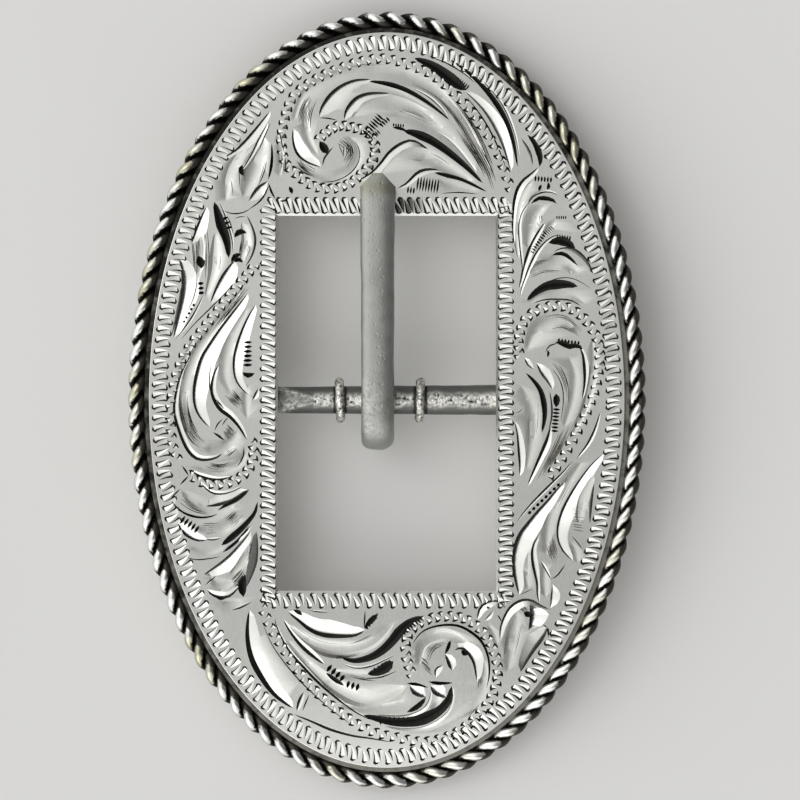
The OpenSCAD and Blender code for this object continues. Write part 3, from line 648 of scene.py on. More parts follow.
scrolls["left"] = {
    "hollows": [
        (1.3, 0.6, [-13.4, 10, -15.4, 7.2, -17.6, 4, -18.6, 0.4, -18.1, -3.2]),
        (1.4, 0.5, [-12.8, 8.4, -14.4, 5.4, -14.9, 2.4, -14.2, 0.6]),
        (1.5, 0.5, [-13.6, -2.8, -14.8, -4.4, -16.8, -4.5]),
        (0.9, 0.5, [-12.6, 1.4, -12.9, 0.4, -12.8, -1.8]),
        (1, 0.5, [-17.6, -6.1, -15.6, -6.5, -13.6, -5.9, -12.9, -4.8]),
        (0.8, 0.6, [-17.7, 5.6, -18.6, 3.2, -19, 0.6]),
    ],
    "cuts": [
        (0.2, -1.4, 0.62, [-12.7, 9.8, -13.6, 8.6, -15.2, 6.5, -16.2, 5, -16.9, 3.8, -17.4, 2, -17.6, 0.4,
         -17.4, -0.9, -16.8, -1.9, -16.2, -2.5]),
        (0.16, -0.95, 0.45, [-12, 8.8, -12.9, 7.1, -13.6, 5.2, -13.95, 3.6, -13.85, 2.1, -13.3, 1.1, -12.5,
         0.35]),
        (0.26, -0.4, 0.55, [-15.35, 3.3, -15.75, 2.4, -15.95, 1.2, -15.8, 0.3, -15.2, -0.7, -14.3, -1.4,
         -13.6, -2.2, -13.1, -3, -12.8, -3.7]),
        (0.2, -0.35, 0.78, [-17.3, 5, -18.2, 3.6, -18.85, 2.2, -19.25, 0.6, -19.4, -1, -19, -2.6, -18.3,
         -4.3, -17.5, -5.2, -16.6, -5.4, -15.6, -5.2, -14.9, -4.7]),
        (0.17, 0, 0.5, [-15.95, -2.95, -15.4, -3.3, -14.85, -3.75]),
        (0.1, 0, 0.5, [-15, -1.7, -15.5, -2.2, -15.8, -2.85]),
        (0.08, 0, 0.5, [-14.5, -1.55, -14.9, -2, -15.1, -2.4]),
        (0.12, 0.3, 0.5, [-12.35, -0.1, -12, 0.5, -11.75, 1.1]),
        (0.13, 0, 0.5, [-13.1, -4.2, -13.2, -5.3, -13.9, -6.3]),
        (0.2, -0.25, 0.4, [-18, -6.4, -17, -6.9, -15.6, -7.2, -14.2, -7]),
        (0.18, -1.35, 0.28, [-19.05, 13, -18.7, 11.9, -18.6, 10.6, -18.75, 9.2, -19.05, 7.8, -19.55, 5.7]),
        (0.03, 0.2, 0.5, [-18.85, 10.4, -18.95, 9.2, -19.25, 7.6, -19.7, 5.9]),
        (0.08, -0.36, 0.4, [-17.4, 11.9, -17.45, 10.6, -17.7, 9.4, -18.3, 8.1, -19.2, 6.4]),
        (0.08, -0.16, 0.5, [-16.75, 9.8, -17.2, 8.8, -17.9, 7.5, -18.6, 6.5, -19.4, 5.5]),
        (0.09, 0, 0.5, [-13.7, 11.3, -14.2, 10.5, -15.3, 9.3, -16.5, 8.1, -17.7, 6.9, -18.9, 5.5]),
        (0.05, 0.22, 0.5, [-15.85, 4, -16.15, 3, -16.25, 1.8, -16.2, 0.8]),
    ],
    "shades": [
        (0.42, 0.5, [-15.95, 1, -15.7, 0.1, -15.1, -0.65, -14.4, -1.2]),
        (0.5, 0.5, [-13.25, 2.55, -12.75, 2.25, -12.1, 2.45]),
        (0.3, 0.5, [-18.2, -4.5, -17.6, -5.1, -16.9, -5.3]),
    ],
    "ribs": [
        (6, 0.46, (-12.8, 5.5), (-12.75, 3)),
        (3, 0.3, (-17.1, 10.9), (-17, 9.6)),
        (5, 0.15, (-17.6, 8.9), (-18.7, 7)),
    ],
    "hairs": [
        (9, [-19, 1.8, -19, -1.2, -18.2, -3.6, -16.9, -4.7], [-18.2, 2.6, -18.2, -0.6, -17.4, -2.8, -16.2,
         -4]),
        (7, [-15, 0.4, -14.2, -0.3, -13.4, -0.9], [-14.1, 1, -13.6, 0.4, -13, -0.2]),
        (6, [-14.7, -2.1, -14.2, -2.6, -13.7, -3.1], [-15.2, -2.9, -14.8, -3.4, -14.2, -3.8]),
        (5, [-15.2, -4.6, -14.6, -4.3, -14.2, -3.9], [-15, -5.5, -14.2, -5.1, -13.6, -4.3]),
        (7, [-17.3, -6.2, -15.4, -6.7, -13.5, -6.3], [-16.4, -5.7, -15.2, -5.9, -13.9, -5.5]),
        (5, [-12.8, 11, -15.4, 7.4, -17.4, 4.4], [-12.5, 10.3, -14.9, 7.4, -16.7, 4.8]),
        (4, [-18.4, 4.2, -18.9, 2.6, -19.2, 0.6], [-17.8, 4.4, -18.4, 2.6, -18.6, 0.8]),
    ],
    "beads": [
        (0.8, 1.1, [-12.2, 12.2, -14.2, 9.8, -16.2, 7.3, -18.2, 4.7, -18.9, 3.3, -19.4, 1.8, -19.7, 0.2,
         -19.85, -1.6, -19.7, -4, -19.2, -5.4]),
        (0.85, 0.85, [-18, -6.9, -16.8, -7.6, -14.9, -7.7, -13.3, -7, -12.4, -5.9, -12.2, -4.6, -12.4,
         -3.7]),
    ],
}
scrolls["upperLeft"] = {
    "hollows": [
        (1, 0.4, [-17.2, 15.8, -17, 13.8, -17.4, 10.8]),
        (1.2, 0.4, [-15.7, 15.4, -15.8, 12.2, -16.6, 9.4]),
        (2, 0.5, [-11.2, 24.2, -12, 21.6, -13.2, 18.6]),
        (1.3, 0.5, [-12.6, 24.2, -13.8, 22.2, -14.6, 20.4, -14.8, 18.2]),
        (1, 0.5, [-13.3, 16.4, -12.9, 14.6, -13.4, 12.6]),
        (0.9, 0.5, [-10.1, 24.6, -9.7, 22.6, -9.9, 20.4]),
    ],
    "cuts": [
        (0.15, -0.9, 0.6, [-16.5, 17.8, -16.9, 16.9, -17.3, 15.9, -17.6, 15.1, -17.9, 14.3]),
        (0.1, 0.12, 0.5, [-12.9, 17, -12.5, 16.2, -12.15, 15.2, -12.1, 14.3, -12.4, 13.2, -13, 12.2]),
        (0.15, -1.25, 0.38, [-13.9, 12.9, -14.7, 11.8, -15.2, 11, -15.7, 10, -16.2, 8.8]),
        (0.15, -0.7, 0.5, [-10.7, 26.6, -11.6, 25.4, -12.4, 24.4, -13.1, 23.6, -14, 22.8, -15.1, 22.2]),
        (0.13, 0, 0.4, [-10.7, 25.5, -11.3, 24.1, -11.8, 22.9, -12.5, 21.8, -13.2, 20.9]),
        (0.04, -0.62, 0.45, [-10.95, 25.5, -11.85, 23.9, -12.5, 22.5, -13.3, 21.1]),
        (0.22, 0, 0.6, [-10.6, 23.6, -10.55, 22.4, -10.65, 21.3, -10.9, 20.2]),
        (0.1, 0, 0.5, [-15.1, 17.4, -14.2, 17.1, -13.2, 17.2, -12.4, 17.65]),
        (0.13, 0, 0.55, [-12.7, 17.5, -12, 17.95, -11.3, 18.7, -10.8, 19.8]),
        (0.05, 0.95, 0.5, [-12.7, 18.2, -12.3, 19, -11.7, 19.7, -10.9, 20.1]),
        (0.16, 0, 0.5, [-10.9, 20, -10.6, 19.1, -10.2, 18.4]),
        (0.14, 0, 0.5, [-10.2, 18.4, -9.6, 18.25, -9, 18.4]),
        (0.1, 0, 0.5, [-14.8, 17.1, -14.4, 16.3, -14.1, 15.2]),
        (0.07, 0, 0.5, [-14, 16.65, -13.5, 16.8, -12.95, 16.85]),
        (0.05, -0.22, 0.5, [-15.4, 18.2, -14.9, 17, -14.5, 15.8, -14.2, 14.6, -14.1, 13.4]),
        (0.05, 0.14, 0.5, [-9.9, 24.8, -9.6, 23.4, -9.3, 22.4]),
    ],
    "shades": [
        (0.95, 0.42, [-15.85, 18.2, -15.5, 17, -15.2, 16, -14.8, 15, -14.6, 14.1, -14.5, 13]),
        (0.6, 0.5, [-14, 14.9, -13.5, 15.45, -12.8, 15.3]),
        (0.5, 0.5, [-14.3, 12.6, -13.9, 13.2, -13.3, 13.4]),
        (0.45, 0.5, [-14.1, 12.6, -13.6, 12.9, -13.2, 12.6]),
        (0.85, 0.5, [-17.3, 13.3, -17.1, 12.7, -17, 12]),
        (0.55, 0.45, [-13.25, 21.6, -13.4, 21.1, -13.15, 20.55]),
        (0.4, 0.5, [-9, 19.6, -8.8, 19.3, -8.7, 18.9]),
    ],
    "ribs": [
        (3, 0.25, (-14.9, 16.9), (-14.4, 15.6)),
    ],
    "hairs": [
        (2, [-12.4, 22.4, -12.6, 20.9, -12.9, 19.2], [-14.8, 21.2, -14.4, 19.8, -14.2, 18.4]),
        (4, [-11.2, 23.4, -11.6, 21.2, -12.4, 19], [-10.9, 22.6, -11.2, 20.9, -11.8, 19.6]),
        (6, [-13.6, 14.9, -13.4, 13.9, -13.7, 13.2], [-12.6, 15, -12.5, 13.9, -12.9, 13]),
        (6, [-18.1, 15, -17.9, 13.4, -17.8, 11.4], [-16.4, 15.8, -16.2, 13.4, -16.4, 10.6]),
        (5, [-9.9, 23.6, -9.9, 22, -9.9, 20.6], [-9.2, 22.4, -9.2, 21.4, -9.3, 20.4]),
        (4, [-16, 14.6, -15.8, 12.6, -16, 11], [-15.2, 13.6, -15.2, 12.4, -15.5, 11.2]),
    ],
    "beads": [],
}
scrolls["lowerLeft"] = {
    "hollows": [
        (1.4, 0.5, [-18.9, -8.2, -17.2, -9.6, -15.4, -10.1, -13.8, -9.4]),
        (1.3, 0.5, [-17.4, -11.8, -15.2, -11.8, -13.2, -10.6]),
        (1, 0.5, [-18.2, -13.5, -16.4, -13.8, -14.8, -13.4]),
        (1.2, 0.5, [-16.3, -16.2, -15.2, -17, -13.9, -16.5]),
        (1.3, 0.5, [-12.7, -13, -13.2, -14.6, -14.4, -16]),
        (0.9, 0.5, [-15.4, -18.5, -14.2, -18.6, -13, -18.5]),
    ],
    "cuts": [
        (0.13, 0, 0.5, [-18.8, -6, -18.5, -6.4, -18.15, -6.95]),
        (0.13, 0, 0.5, [-18.15, -6.9, -18.5, -7.3, -19, -7.8]),
        (0.1, 0, 0.5, [-18.9, -8.1, -19.4, -8.6, -19.9, -9.1]),
        (0.08, -0.3, 0.5, [-17.1, -7.4, -16.6, -8.1, -15.9, -8.55, -15, -8.6, -14.1, -8.35, -13.2, -7.9]),
        (0.08, -1.05, 0.3, [-16.7, -9.75, -15.5, -9.65, -14.2, -9.15, -12.8, -8.2]),
        (0.17, 0, 0.5, [-19.9, -9.1, -19.2, -9.9, -18.4, -10.45, -17.3, -10.75, -16.2, -10.7, -15.3,
         -10.3]),
        (0.16, -1, 0.32, [-19.2, -11.2, -18.7, -12, -18.1, -12.5, -17.3, -12.85, -16.4, -12.8]),
        (0.07, -0.2, 0.5, [-16.8, -12.75, -15.9, -12.8, -15.1, -12.6]),
        (0.09, 0, 0.5, [-18.5, -14.4, -17.5, -14.65, -16.3, -14.55, -15.2, -14.35]),
        (0.04, -1.25, 0.6, [-12.5, -12, -13.6, -13.3, -14.9, -14.6, -16.8, -16]),
        (0.2, -0.45, 0.4, [-16.5, -17.35, -16, -17.8, -15.2, -18, -14.4, -17.85, -13.5, -17]),
        (0.07, 0.12, 0.5, [-16.7, -17, -16.2, -16.6, -15.6, -16.1]),
        (0.1, 0.8, 0.5, [-11.95, -12, -11.9, -13.6, -12.05, -15, -12.5, -16.3, -12.9, -17.2]),
        (0.06, -0.25, 0.5, [-14.3, -19.3, -13.4, -19.05, -12.4, -18.5]),
        (0.04, -0.2, 0.5, [-12.3, -11.3, -13, -12.2, -13.9, -13, -14.9, -13.65]),
    ],
    "shades": [
        (0.5, 0.45, [-12.6, -8.2, -13.4, -8.85, -14.3, -9.4, -15.1, -9.85, -15.7, -10.25]),
        (0.62, 0.78, [-11.85, -9.3, -12.1, -10.3, -12.7, -11.1, -13.4, -11.85, -14.2, -12.55, -15.2,
         -13.35]),
        (0.3, 0.7, [-12.6, -11.5, -13.1, -12.2, -13.7, -12.9, -14.4, -13.5, -15.1, -14]),
        (0.9, 0.5, [-13, -16, -13.3, -17, -13.15, -18.1]),
        (0.4, 0.5, [-15.8, -18, -15.2, -18.2, -14.7, -18.1]),
    ],
    "ribs": [
        (5, 0.5, (-18.9, -10.9), (-17.3, -12)),
    ],
    "hairs": [
        (5, [-18.6, -8.2, -16.8, -9.6, -15.2, -9.9], [-19.3, -9.2, -17.6, -10.3, -15.8, -10.4]),
        (7, [-15.2, -11.2, -14.4, -10.5, -13.7, -9.9], [-14.5, -12, -13.6, -11.2, -12.9, -10.4]),
        (4, [-17.2, -11.2, -16, -11.3, -14.8, -11.2], [-17, -12.3, -16, -12.4, -15, -12.1]),
        (7, [-13.2, -15, -13.7, -15.9, -14.6, -16.7], [-12.9, -16, -13.4, -16.8, -14.1, -17.4]),
        (4, [-12.6, -12.7, -12.9, -14, -13.8, -15.4], [-12.3, -12.8, -12.5, -14.2, -13.1, -15.4]),
    ],
    "beads": [],
}
# Rows of short taps of the graver that come from both sides of a border. Lean turns the taps, dark
# and bright are the widths of a tap's two walls.
tapSteps = [0, 0.12, 0.3, 0.55, 0.8, 1]
tapSizes = [0.35, 1, 0.95, 0.7, 0.35, 0]
shortDark = [0.7, 1, 0.6, 0.35, 0.3, 0.3]  # how the dark wall narrows beside the bright one
longDark = [0.7, 1, 0.9, 0.9, 1, 1]
wriggles = {
    "oval": {"width": 1.5, "reach": 0.94, "dark": 0.2, "bright": 0.4, "depth": 0.19, "lean": 0.22},
    "side": {"width": 1.5, "reach": 0.92, "dark": 0.19, "bright": 0.36, "depth": 0.18, "lean": 0.1},
    "top": {"width": 1.6, "reach": 0.95, "dark": 0.22, "bright": 0.34, "depth": 0.18, "lean": 0.1},
    "bead": {"width": 0.95, "reach": 0.66, "dark": 0.24, "bright": 0.34, "depth": 0.18, "lean": 0.35},
}
tapHeads = {"bead": 2}  # how many steps of a tap are all dark, where it is more than one
borders = {
    "ovalInset": 2.95,
    "ovalPitch": 1.04,
    "ovalLeftPitch": 1.0,
    "windowGap": 0.92,
    "windowSides": [("side", 0.93, 0.0), ("top", 0.86, 0.25), ("side", 0.96, -0.35), ("side", 1.1, 0.2)],
    "shadowWay": (-1.0, -0.35),  # the darker wall of a tap lies this way from its bottom and faces away from the light, so its oxide colour is partly painted shade
    "turnSpread": (-0.06, 0.06),  # no two taps are quite alike, in radians and in size
    "sizeSpread": (0.92, 1.06),
}


def swelling(share, widest):  # 0 at both ends of a stroke and 1 where it is widest
    part = share / widest if share < widest else (1 - share) / (1 - widest)
    return max(0.0, part) ** graver["swelling"]


def veeSection(left, right):  # two walls that meet in a line
    return [(-left, 0), (0, -1), (right, 0)]


def mirrored(section):
    return [(-across, level) for across, level in reversed(section)]


def grooveCutter(path, sizes, sections, depth, looks, darkHead=0):
    # A long cutter over the flat plate. A section is a list of places across, with their depth as
    # a share, from the left edge over the bottom to the right edge. Looks has one value for each wall.
    over = graver["over"]
    bm = bmesh.new()
    rings = []
    for spot, way, size, section in zip(path, directions(path), sizes, sections):
        toRight = Vector((way.y, -way.x))
        ring = []
        for number, (across, level) in enumerate(section):
            inner = {0: 1, len(section) - 1: len(section) - 2}.get(number)
            if inner is None:
                place, height = across * size, graver["lift"] + level * depth * size
            else:  # the outer corners stand over the face
                run = (across - section[inner][0]) / (level - section[inner][1])
                place, height = across * size + run * over / depth, over
            ring.append(bm.verts.new((*(spot + toRight * place), plate["face"] + height)))
        rings.append((ring, [bm.edges.new(pair) for pair in zip(ring, ring[1:] + ring[:1])]))
    for number, ((ring, edges), (nextRing, nextEdges)) in enumerate(zip(rings, rings[1:])):
        for wall in bmesh.ops.bridge_loops(bm, edges=edges + nextEdges)["faces"]:
            corners = set(wall.verts)
            for look, first, second in zip(looks, ring, ring[1:]):
                if first in corners and second in corners:
                    wall.material_index = dark if number < darkHead else look
    for ring, edges in (rings[0], rings[-1]):
        bm.faces.new(ring)
    bmesh.ops.recalc_face_normals(bm, faces=bm.faces)
    return bm


def strokeCutter(points, widest, section, depth, looks):  # a long stroke, pointed at both ends
    path = evenPath(smoothPath(points), graver["spacing"])
    if len(path) <= graver["leastSteps"]:
        path = evenPath(smoothPath(points), (path[-1] - path[0]).length / graver["leastSteps"])
    sizes = [swelling(k / (len(path) - 1), widest) for k in range(len(path))]
    return grooveCutter(path, sizes, [section] * len(path), depth, looks)


def tapTool(kind, side):  # one tap: a dark blunt head, then a tapering groove with one dark wall
    tap = wriggles[kind]
    reach = tap["width"] * tap["reach"]
    path = [Vector((share * reach, 0)) for share in tapSteps]
    narrowing = longDark if kind == "top" else shortDark
    sections = [veeSection(tap["dark"] * share, tap["bright"]) for share in narrowing]
    looks = (dark, bright)
    if side < 0:
        sections, looks = [mirrored(section) for section in sections], (bright, dark)
    bm = grooveCutter(path, tapSizes, sections, tap["depth"], looks, tapHeads.get(kind, 1))
    return meshFrom(bm, "tap")


def stamp(bm, tool, place):  # a copy of a small tool joins the cutters
    before = len(bm.verts)
    bm.from_mesh(tool)
    bm.verts.ensure_lookup_table()
    bmesh.ops.transform(bm, matrix=place, verts=bm.verts[before:])


def wriggleRows(steps, kind, closed, turned=0.0):  # taps from both sides of a line in turn
    sizes = wriggles[kind]
    tools = [tapTool(kind, 1), tapTool(kind, -1)]
    shadowWay = Vector(borders["shadowWay"])
    rows = [bmesh.new() for number in range(4)]  # taps that touch go into different cutters
    for k, (spot, way) in enumerate(zip(steps, directions(steps, closed))):
        out = Vector((way.y, -way.x)) * (1 if k % 2 else -1)
        lean = sizes["lean"] + turned
        start = spot + out * sizes["width"] / 2
        if k % 2 == 0:  # the middles of all taps stand evenly along the line
            start -= way * sizes["width"] * sizes["reach"] * math.sin(lean)
        turn = math.atan2(-out.y, -out.x) + lean + random.uniform(*borders["turnSpread"])
        toLeft = Vector((-math.sin(turn), math.cos(turn)))
        # painted shade: the tap's dark wall goes on the side turned from the light
        tool = tools[0] if toLeft.dot(shadowWay) > 0 else tools[1]
        place = Matrix.Translation((*start, plate["face"])) @ Matrix.Rotation(turn, 4, "Z")
        place = place @ Matrix.Scale(random.uniform(*borders["sizeSpread"]), 4)
        stamp(rows[k % 4], tool, place @ Matrix.Translation((0, 0, -plate["face"])))
    for tool in tools:
        bpy.data.meshes.remove(tool)
    return rows


def windowPath():  # the middle of the border round the window
    gap = borders["windowGap"]
    side = plate["windowWidth"] / 2 + gap
    low, high = plate["windowBottom"] - gap, plate["windowTop"] + gap
    corners = [(side, low), (side, high), (-side, high), (-side, low), (side, low)]
    return [Vector(c) for c in corners]


def hairStrokes(count, first, last):  # fine shading between two lines, each stroke its own length
    one, other = smoothPath(first), smoothPath(last)
    strokes = []
    for k in range(count):
        share = (k + random.uniform(*graver["hairPlace"])) / count
        line = [a.lerp(b, share) for a, b in zip(one, other)]
        start = int(len(line) * random.uniform(*graver["hairStart"]))
        stop = int(len(line) * random.uniform(*graver["hairStop"]))
        strokes.append(evenPath(line[start:stop], graver["hairSpacing"]))
    return strokes


def ribStrokes(count, reach, first, last):  # short cuts side by side across a line
    first, last = Vector(first), Vector(last)
    way = (last - first).normalized()
    across = Vector((way.y, -way.x)) * reach
    half = (last - first).length / count * graver["ribShare"] / 2
    spots = [first.lerp(last, (k + 0.5) / count) for k in range(count)]
    return [([s - across, s, s + across], half) for s in spots]


def ovalPace(spot):  # the taps stand closer on the left
    left = max(0.0, -spot.x / (plate["width"] / 2)) ** 2
    return borders["ovalPitch"] + (borders["ovalLeftPitch"] - borders["ovalPitch"]) * left


def engravingCutters():
    cutters = []
    for scroll in scrolls.values():
        for width, widest, points in scroll["hollows"]:
            slope = math.radians(graver["hollowSlope"] * random.uniform(*graver["hollowSpread"]))
            depth = width / 2 * math.tan(slope)
            section = [(-width / 2, 0), (-width / 5, -0.85), (width / 5, -0.9), (width / 2, 0)]
            cutters.append(strokeCutter(pairs(points), widest, section, depth, (bright,) * 3))
        for line, facet, widest, points in scroll["cuts"]:
            line *= graver["wall"]
            if facet:
                slope = math.radians(graver["facetSlope"] * random.uniform(*graver["facetSpread"]))
                depth = graver["least"] + abs(facet) * math.tan(slope)
                section = [(-line, 0), (0, -1), (abs(facet) * 0.6, -0.3), (abs(facet), 0)]
                looks = (dark, bright, bright)
                if facet < 0:
                    section, looks = mirrored(section), looks[::-1]
            else:
                depth = graver["least"] + line / 2
                section, looks = veeSection(line / 2, line / 2), (dark, dark)
            cutters.append(strokeCutter(pairs(points), widest, section, depth, looks))
        for width, widest, points in scroll["shades"]:
            depth = graver["least"] + width / 2 * math.tan(math.radians(graver["shadeSlope"]))
            section = veeSection(width / 2, width / 2)
            cutters.append(strokeCutter(pairs(points), widest, section, depth, (dark, dark)))
        for row in scroll["ribs"]:
            for points, half in ribStrokes(*row):
                section, depth = veeSection(half, half), half * graver["ribDepth"]
                cutters.append(strokeCutter(points, 0.5, section, depth, (dark, dark)))
        for count, first, last in scroll["hairs"]:
            count = round(count * graver["hairShare"])
            for points in hairStrokes(count, pairs(first), pairs(last)):
                section, depth = veeSection(*graver["hairWalls"]), graver["hairDepth"]
                cutters.append(strokeCutter(points, 0.5, section, depth, (greyed, bright)))
        for first, last, points in scroll["beads"]:
            line = smoothPath(pairs(points))
            paces = [first + (last - first) * k / len(line) for k in range(len(line) + 1)]
            cutters += wriggleRows(evenPath(line, 0.5, False, paces), "bead", False)
    line = ovalPath(borders["ovalInset"])
    steps = evenPath(line, 0.5, True, [ovalPace(spot) for spot in line])
    cutters += wriggleRows(steps, "oval", True)
    window = windowPath()
    for start, stop, (kind, pitch, turned) in zip(window, window[1:], borders["windowSides"]):
        cutters += wriggleRows(evenPath([start, stop], pitch / 2), kind, False, turned)
    return cutters


def bendToArch(bm):  # the flat plate takes its arch, strip by strip
    low = -plate["length"] / 2
    for k in range(1, int(plate["length"] / plate["stripLength"]) + 1):
        place = (0, low + k * plate["stripLength"], 0)
        bmesh.ops.bisect_plane(bm, geom=whole(bm), plane_co=place, plane_no=(0, 1, 0))
    for vert in bm.verts:
        vert.co.z = archHeight(vert.co.y, vert.co.z)


def extrudeFace(bm, face, kept=False):  # the new face and its corners
    grown = bmesh.ops.extrude_face_region(bm, geom=[face])["geom"]
    if face.is_valid and not kept:
        bmesh.ops.delete(bm, geom=[face], context="FACES_ONLY")
    corners = [g for g in grown if isinstance(g, bmesh.types.BMVert)]
    return next(g for g in grown if isinstance(g, bmesh.types.BMFace)), corners


def flatPlate():  # ledge, lip and face, stacked on one oval
    steps = [("ledgeInset", "ledge"), ("lipInset", "ledge"), ("lipInset", "lip")]
    steps += [("faceInset", "lip"), ("faceInset", "face")]
    bm = bmesh.new()
    bmesh.ops.create_circle(bm, cap_ends=True, segments=plate["ovalSides"], radius=1)
    halfWidth = plate["width"] / 2 - plate["ledgeInset"]
    halfLength = plate["length"] / 2 - plate["ledgeInset"]
    bmesh.ops.scale(bm, vec=(halfWidth, halfLength, 1), verts=bm.verts)
    top = bm.faces[:][0]
    for number, (inset, level) in enumerate(steps):
        top, rim = extrudeFace(bm, top, number == 0)  # the first one stays, as the back
        newHalves = plate["width"] / 2 - plate[inset], plate["length"] / 2 - plate[inset]
        ratio = (newHalves[0] / halfWidth, newHalves[1] / halfLength, 1)
        bmesh.ops.scale(bm, vec=ratio, verts=rim)
        halfWidth, halfLength = newHalves
        for vert in rim:
            vert.co.z = plate[level]
    bmesh.ops.recalc_face_normals(bm, faces=bm.faces)
    lowest, highest = plate["oxideHeights"]
    for face in bm.faces:
        if lowest < face.calc_center_median().z < highest:
            face.material_index = greyed
    steep = math.radians(60)
    rims = [e for e in bm.edges if e.calc_face_angle(0) > steep and e.is_convex]
    bmesh.ops.bevel(
        bm, geom=rims, offset=plate["rimBevel"], affect="EDGES", segments=2, profile=0.5, material=-1
    )
    return bm


def windowCutter():  # the window's opening, flared at the top for its bright edge
    low, high = plate["windowBottom"], plate["windowTop"]
    bm = bmesh.new()
    bmesh.ops.create_cube(bm, size=1)
    under = plate["windowUnder"]
    bmesh.ops.scale(bm, vec=(plate["windowWidth"], high - low, plate["face"] + under), verts=bm.verts)
    middle = Vector((0, (low + high) / 2, 0))
    shift = middle + Vector((0, 0, (plate["face"] + under) / 2 - under - plate["windowBevel"]))
    bmesh.ops.translate(bm, vec=shift, verts=bm.verts)
    top = max(bm.faces, key=lambda face: face.calc_center_median().z)
    flare = plate["windowBevel"] * 2
    for vert in extrudeFace(bm, top)[1]:
        vert.co.x += math.copysign(flare, vert.co.x)
        vert.co.y += math.copysign(flare, vert.co.y - middle.y)
        vert.co.z += flare
    bmesh.ops.recalc_face_normals(bm, faces=bm.faces)
    return bm


def benchObject(bm, name, collection):  # a temporary object for the cutting
    mesh = meshFrom(bm, name)
    for metal in plateMetals:
        mesh.materials.append(metal)
    thing = bpy.data.objects.new(name, mesh)
    collection.objects.link(thing)
    return thing


def cutAway(bm, cutters):  # subtracts every cutter from the solid, and takes over their wall looks
    bench = bpy.data.collections.new("bench")
    bpy.context.scene.collection.children.link(bench)
    tools = bpy.data.collections.new("tools")
    bench.children.link(tools)
    solid = benchObject(bm, "solid", bench)
    for number, cutter in enumerate(cutters):
        benchObject(cutter, f"tool{number}", tools)
    cut = solid.modifiers.new("cut", "BOOLEAN")
    cut.operand_type = "COLLECTION"
    cut.collection = tools
    cut.operation = "DIFFERENCE"
    cut.solver = "MANIFOLD"
    result = bmesh.new()
    finished = solid.evaluated_get(bpy.context.evaluated_depsgraph_get())
    result.from_mesh(finished.to_mesh())
    finished.to_mesh_clear()
    for thing in [*tools.objects, solid]:
        mesh = thing.data
        bpy.data.objects.remove(thing)
        bpy.data.meshes.remove(mesh)
    bpy.data.collections.remove(tools)
    bpy.data.collections.remove(bench)
    return result


def buildPlate():
    cutters = [windowCutter()] + engravingCutters()
    print(len(cutters), "cutters made")
    bm = cutAway(flatPlate(), cutters)
    print("engraving cut,", len(bm.faces), "faces")
    bendToArch(bm)
    finishPiece(bm, "engravedPlate", plateMetals, "frame", "buckle_frame", 12)


buildPlate()

# Rope edge: two wires twisted together, laid on the ledge
rope = {
    "diameter": 1.6,
    "turns": 48,
    "stepsPerTurn": 20,
    "sunk": 0.08,
    "strandShare": 0.54,
    "grooveReach": 0.45,  # share of the radius at which the dark groove ends
    "litWay": (-0.8, 0.2, 0.0),  # the painted highlight on the crowns leans this way from the top, towards the light
    "sheenStart": 0.35,  # how far a place faces that way where the painted highlight starts
    "sheenSpread": 0.4,
}


def ropeCentre(count):  # even points of the rope's middle line, with its outward and upward directions
    inset = rope["diameter"] / 2
    level = plate["ledge"] - rope["sunk"] + inset
    flat = ovalPath(inset)
    line = [Vector((p.x, p.y, archHeight(p.y, level))) for p in flat]
    total = sum((b - a).length for a, b in zip(line, line[1:] + line[:1]))
    steps = evenPath(line, total / count, True)
    found = []
    for spot, way in zip(steps, directions(steps, True)):
        radius = backRadius + level
        up = Vector((0, spot.y / radius, math.sqrt(1 - (spot.y / radius) ** 2)))
        found.append((spot, way.cross(up).normalized(), up))
    return found


def antiquedWire():
    # Nickel silver wire, twisted, blackened and rubbed: dark grooves, a few brown tarnished patches some 8
    # mm long, and bright rubbed crowns, kept to the side that faces the light as painted highlight. It is
    # painted darker at the upper left, as shade.
    material, tree, place = newMaterial("antiquedWire")
    speck = addNode(tree, "TexNoise", {"Scale": 1 / 0.35, "Detail": 3.0, "Vector": place})[0]
    speck = addNode(tree, "Math", {"operation": "MULTIPLY_ADD", 0: speck, 1: 0.9, 2: -0.45})[0]
    # painted shade: the crowns and their highlight fall off towards the upper left
    lean = {"operation": "DOT_PRODUCT", 0: place, 1: (0.003, -0.003, 0.0)}
    across = addNode(tree, "VectorMath", lean)["Value"]
    uneven = addNode(tree, "Math", {"operation": "ADD", 0: speck, 1: across})[0]
    shares = []
    for name, start in (("crown", 0.25), ("wearAndSheen", 0.3)):
        level = addNode(tree, "Attribute", {"attribute_name": name})["Fac"]
        level = addNode(tree, "Math", {"operation": "ADD", 0: level, 1: uneven})[0]
        ease = {"interpolation_type": "SMOOTHSTEP", "From Min": start, "From Max": 0.7, 0: level}
        shares.append(addNode(tree, "MapRange", ease)[0])
    clean, wearAndSheenShare = shares
    oxide = addNode(tree, "Mix", {"data_type": "RGBA", 0: clean, 6: "#151412", 7: "#524f48"})[2]
    patch = addNode(tree, "TexNoise", {"Scale": 1 / 8, "Detail": 2.0, "Vector": place})[0]
    brown = addNode(tree, "MapRange", {"From Min": 0.5, "From Max": 0.62, 0: patch})[0]
    crown = addNode(tree, "Mix", {"data_type": "RGBA", 0: brown, 6: "#eaeae6", 7: "#c4c1a8"})[2]
    tint = addNode(tree, "Mix", {"data_type": "RGBA", 0: wearAndSheenShare, 6: oxide, 7: crown})[2]
    rough = addNode(tree, "MapRange", {"To Min": 0.55, "To Max": 0.2, 0: wearAndSheenShare})[0]
    return finishMaterial(material, {"Base Color": tint, "Metallic": 0.9, "Roughness": rough})


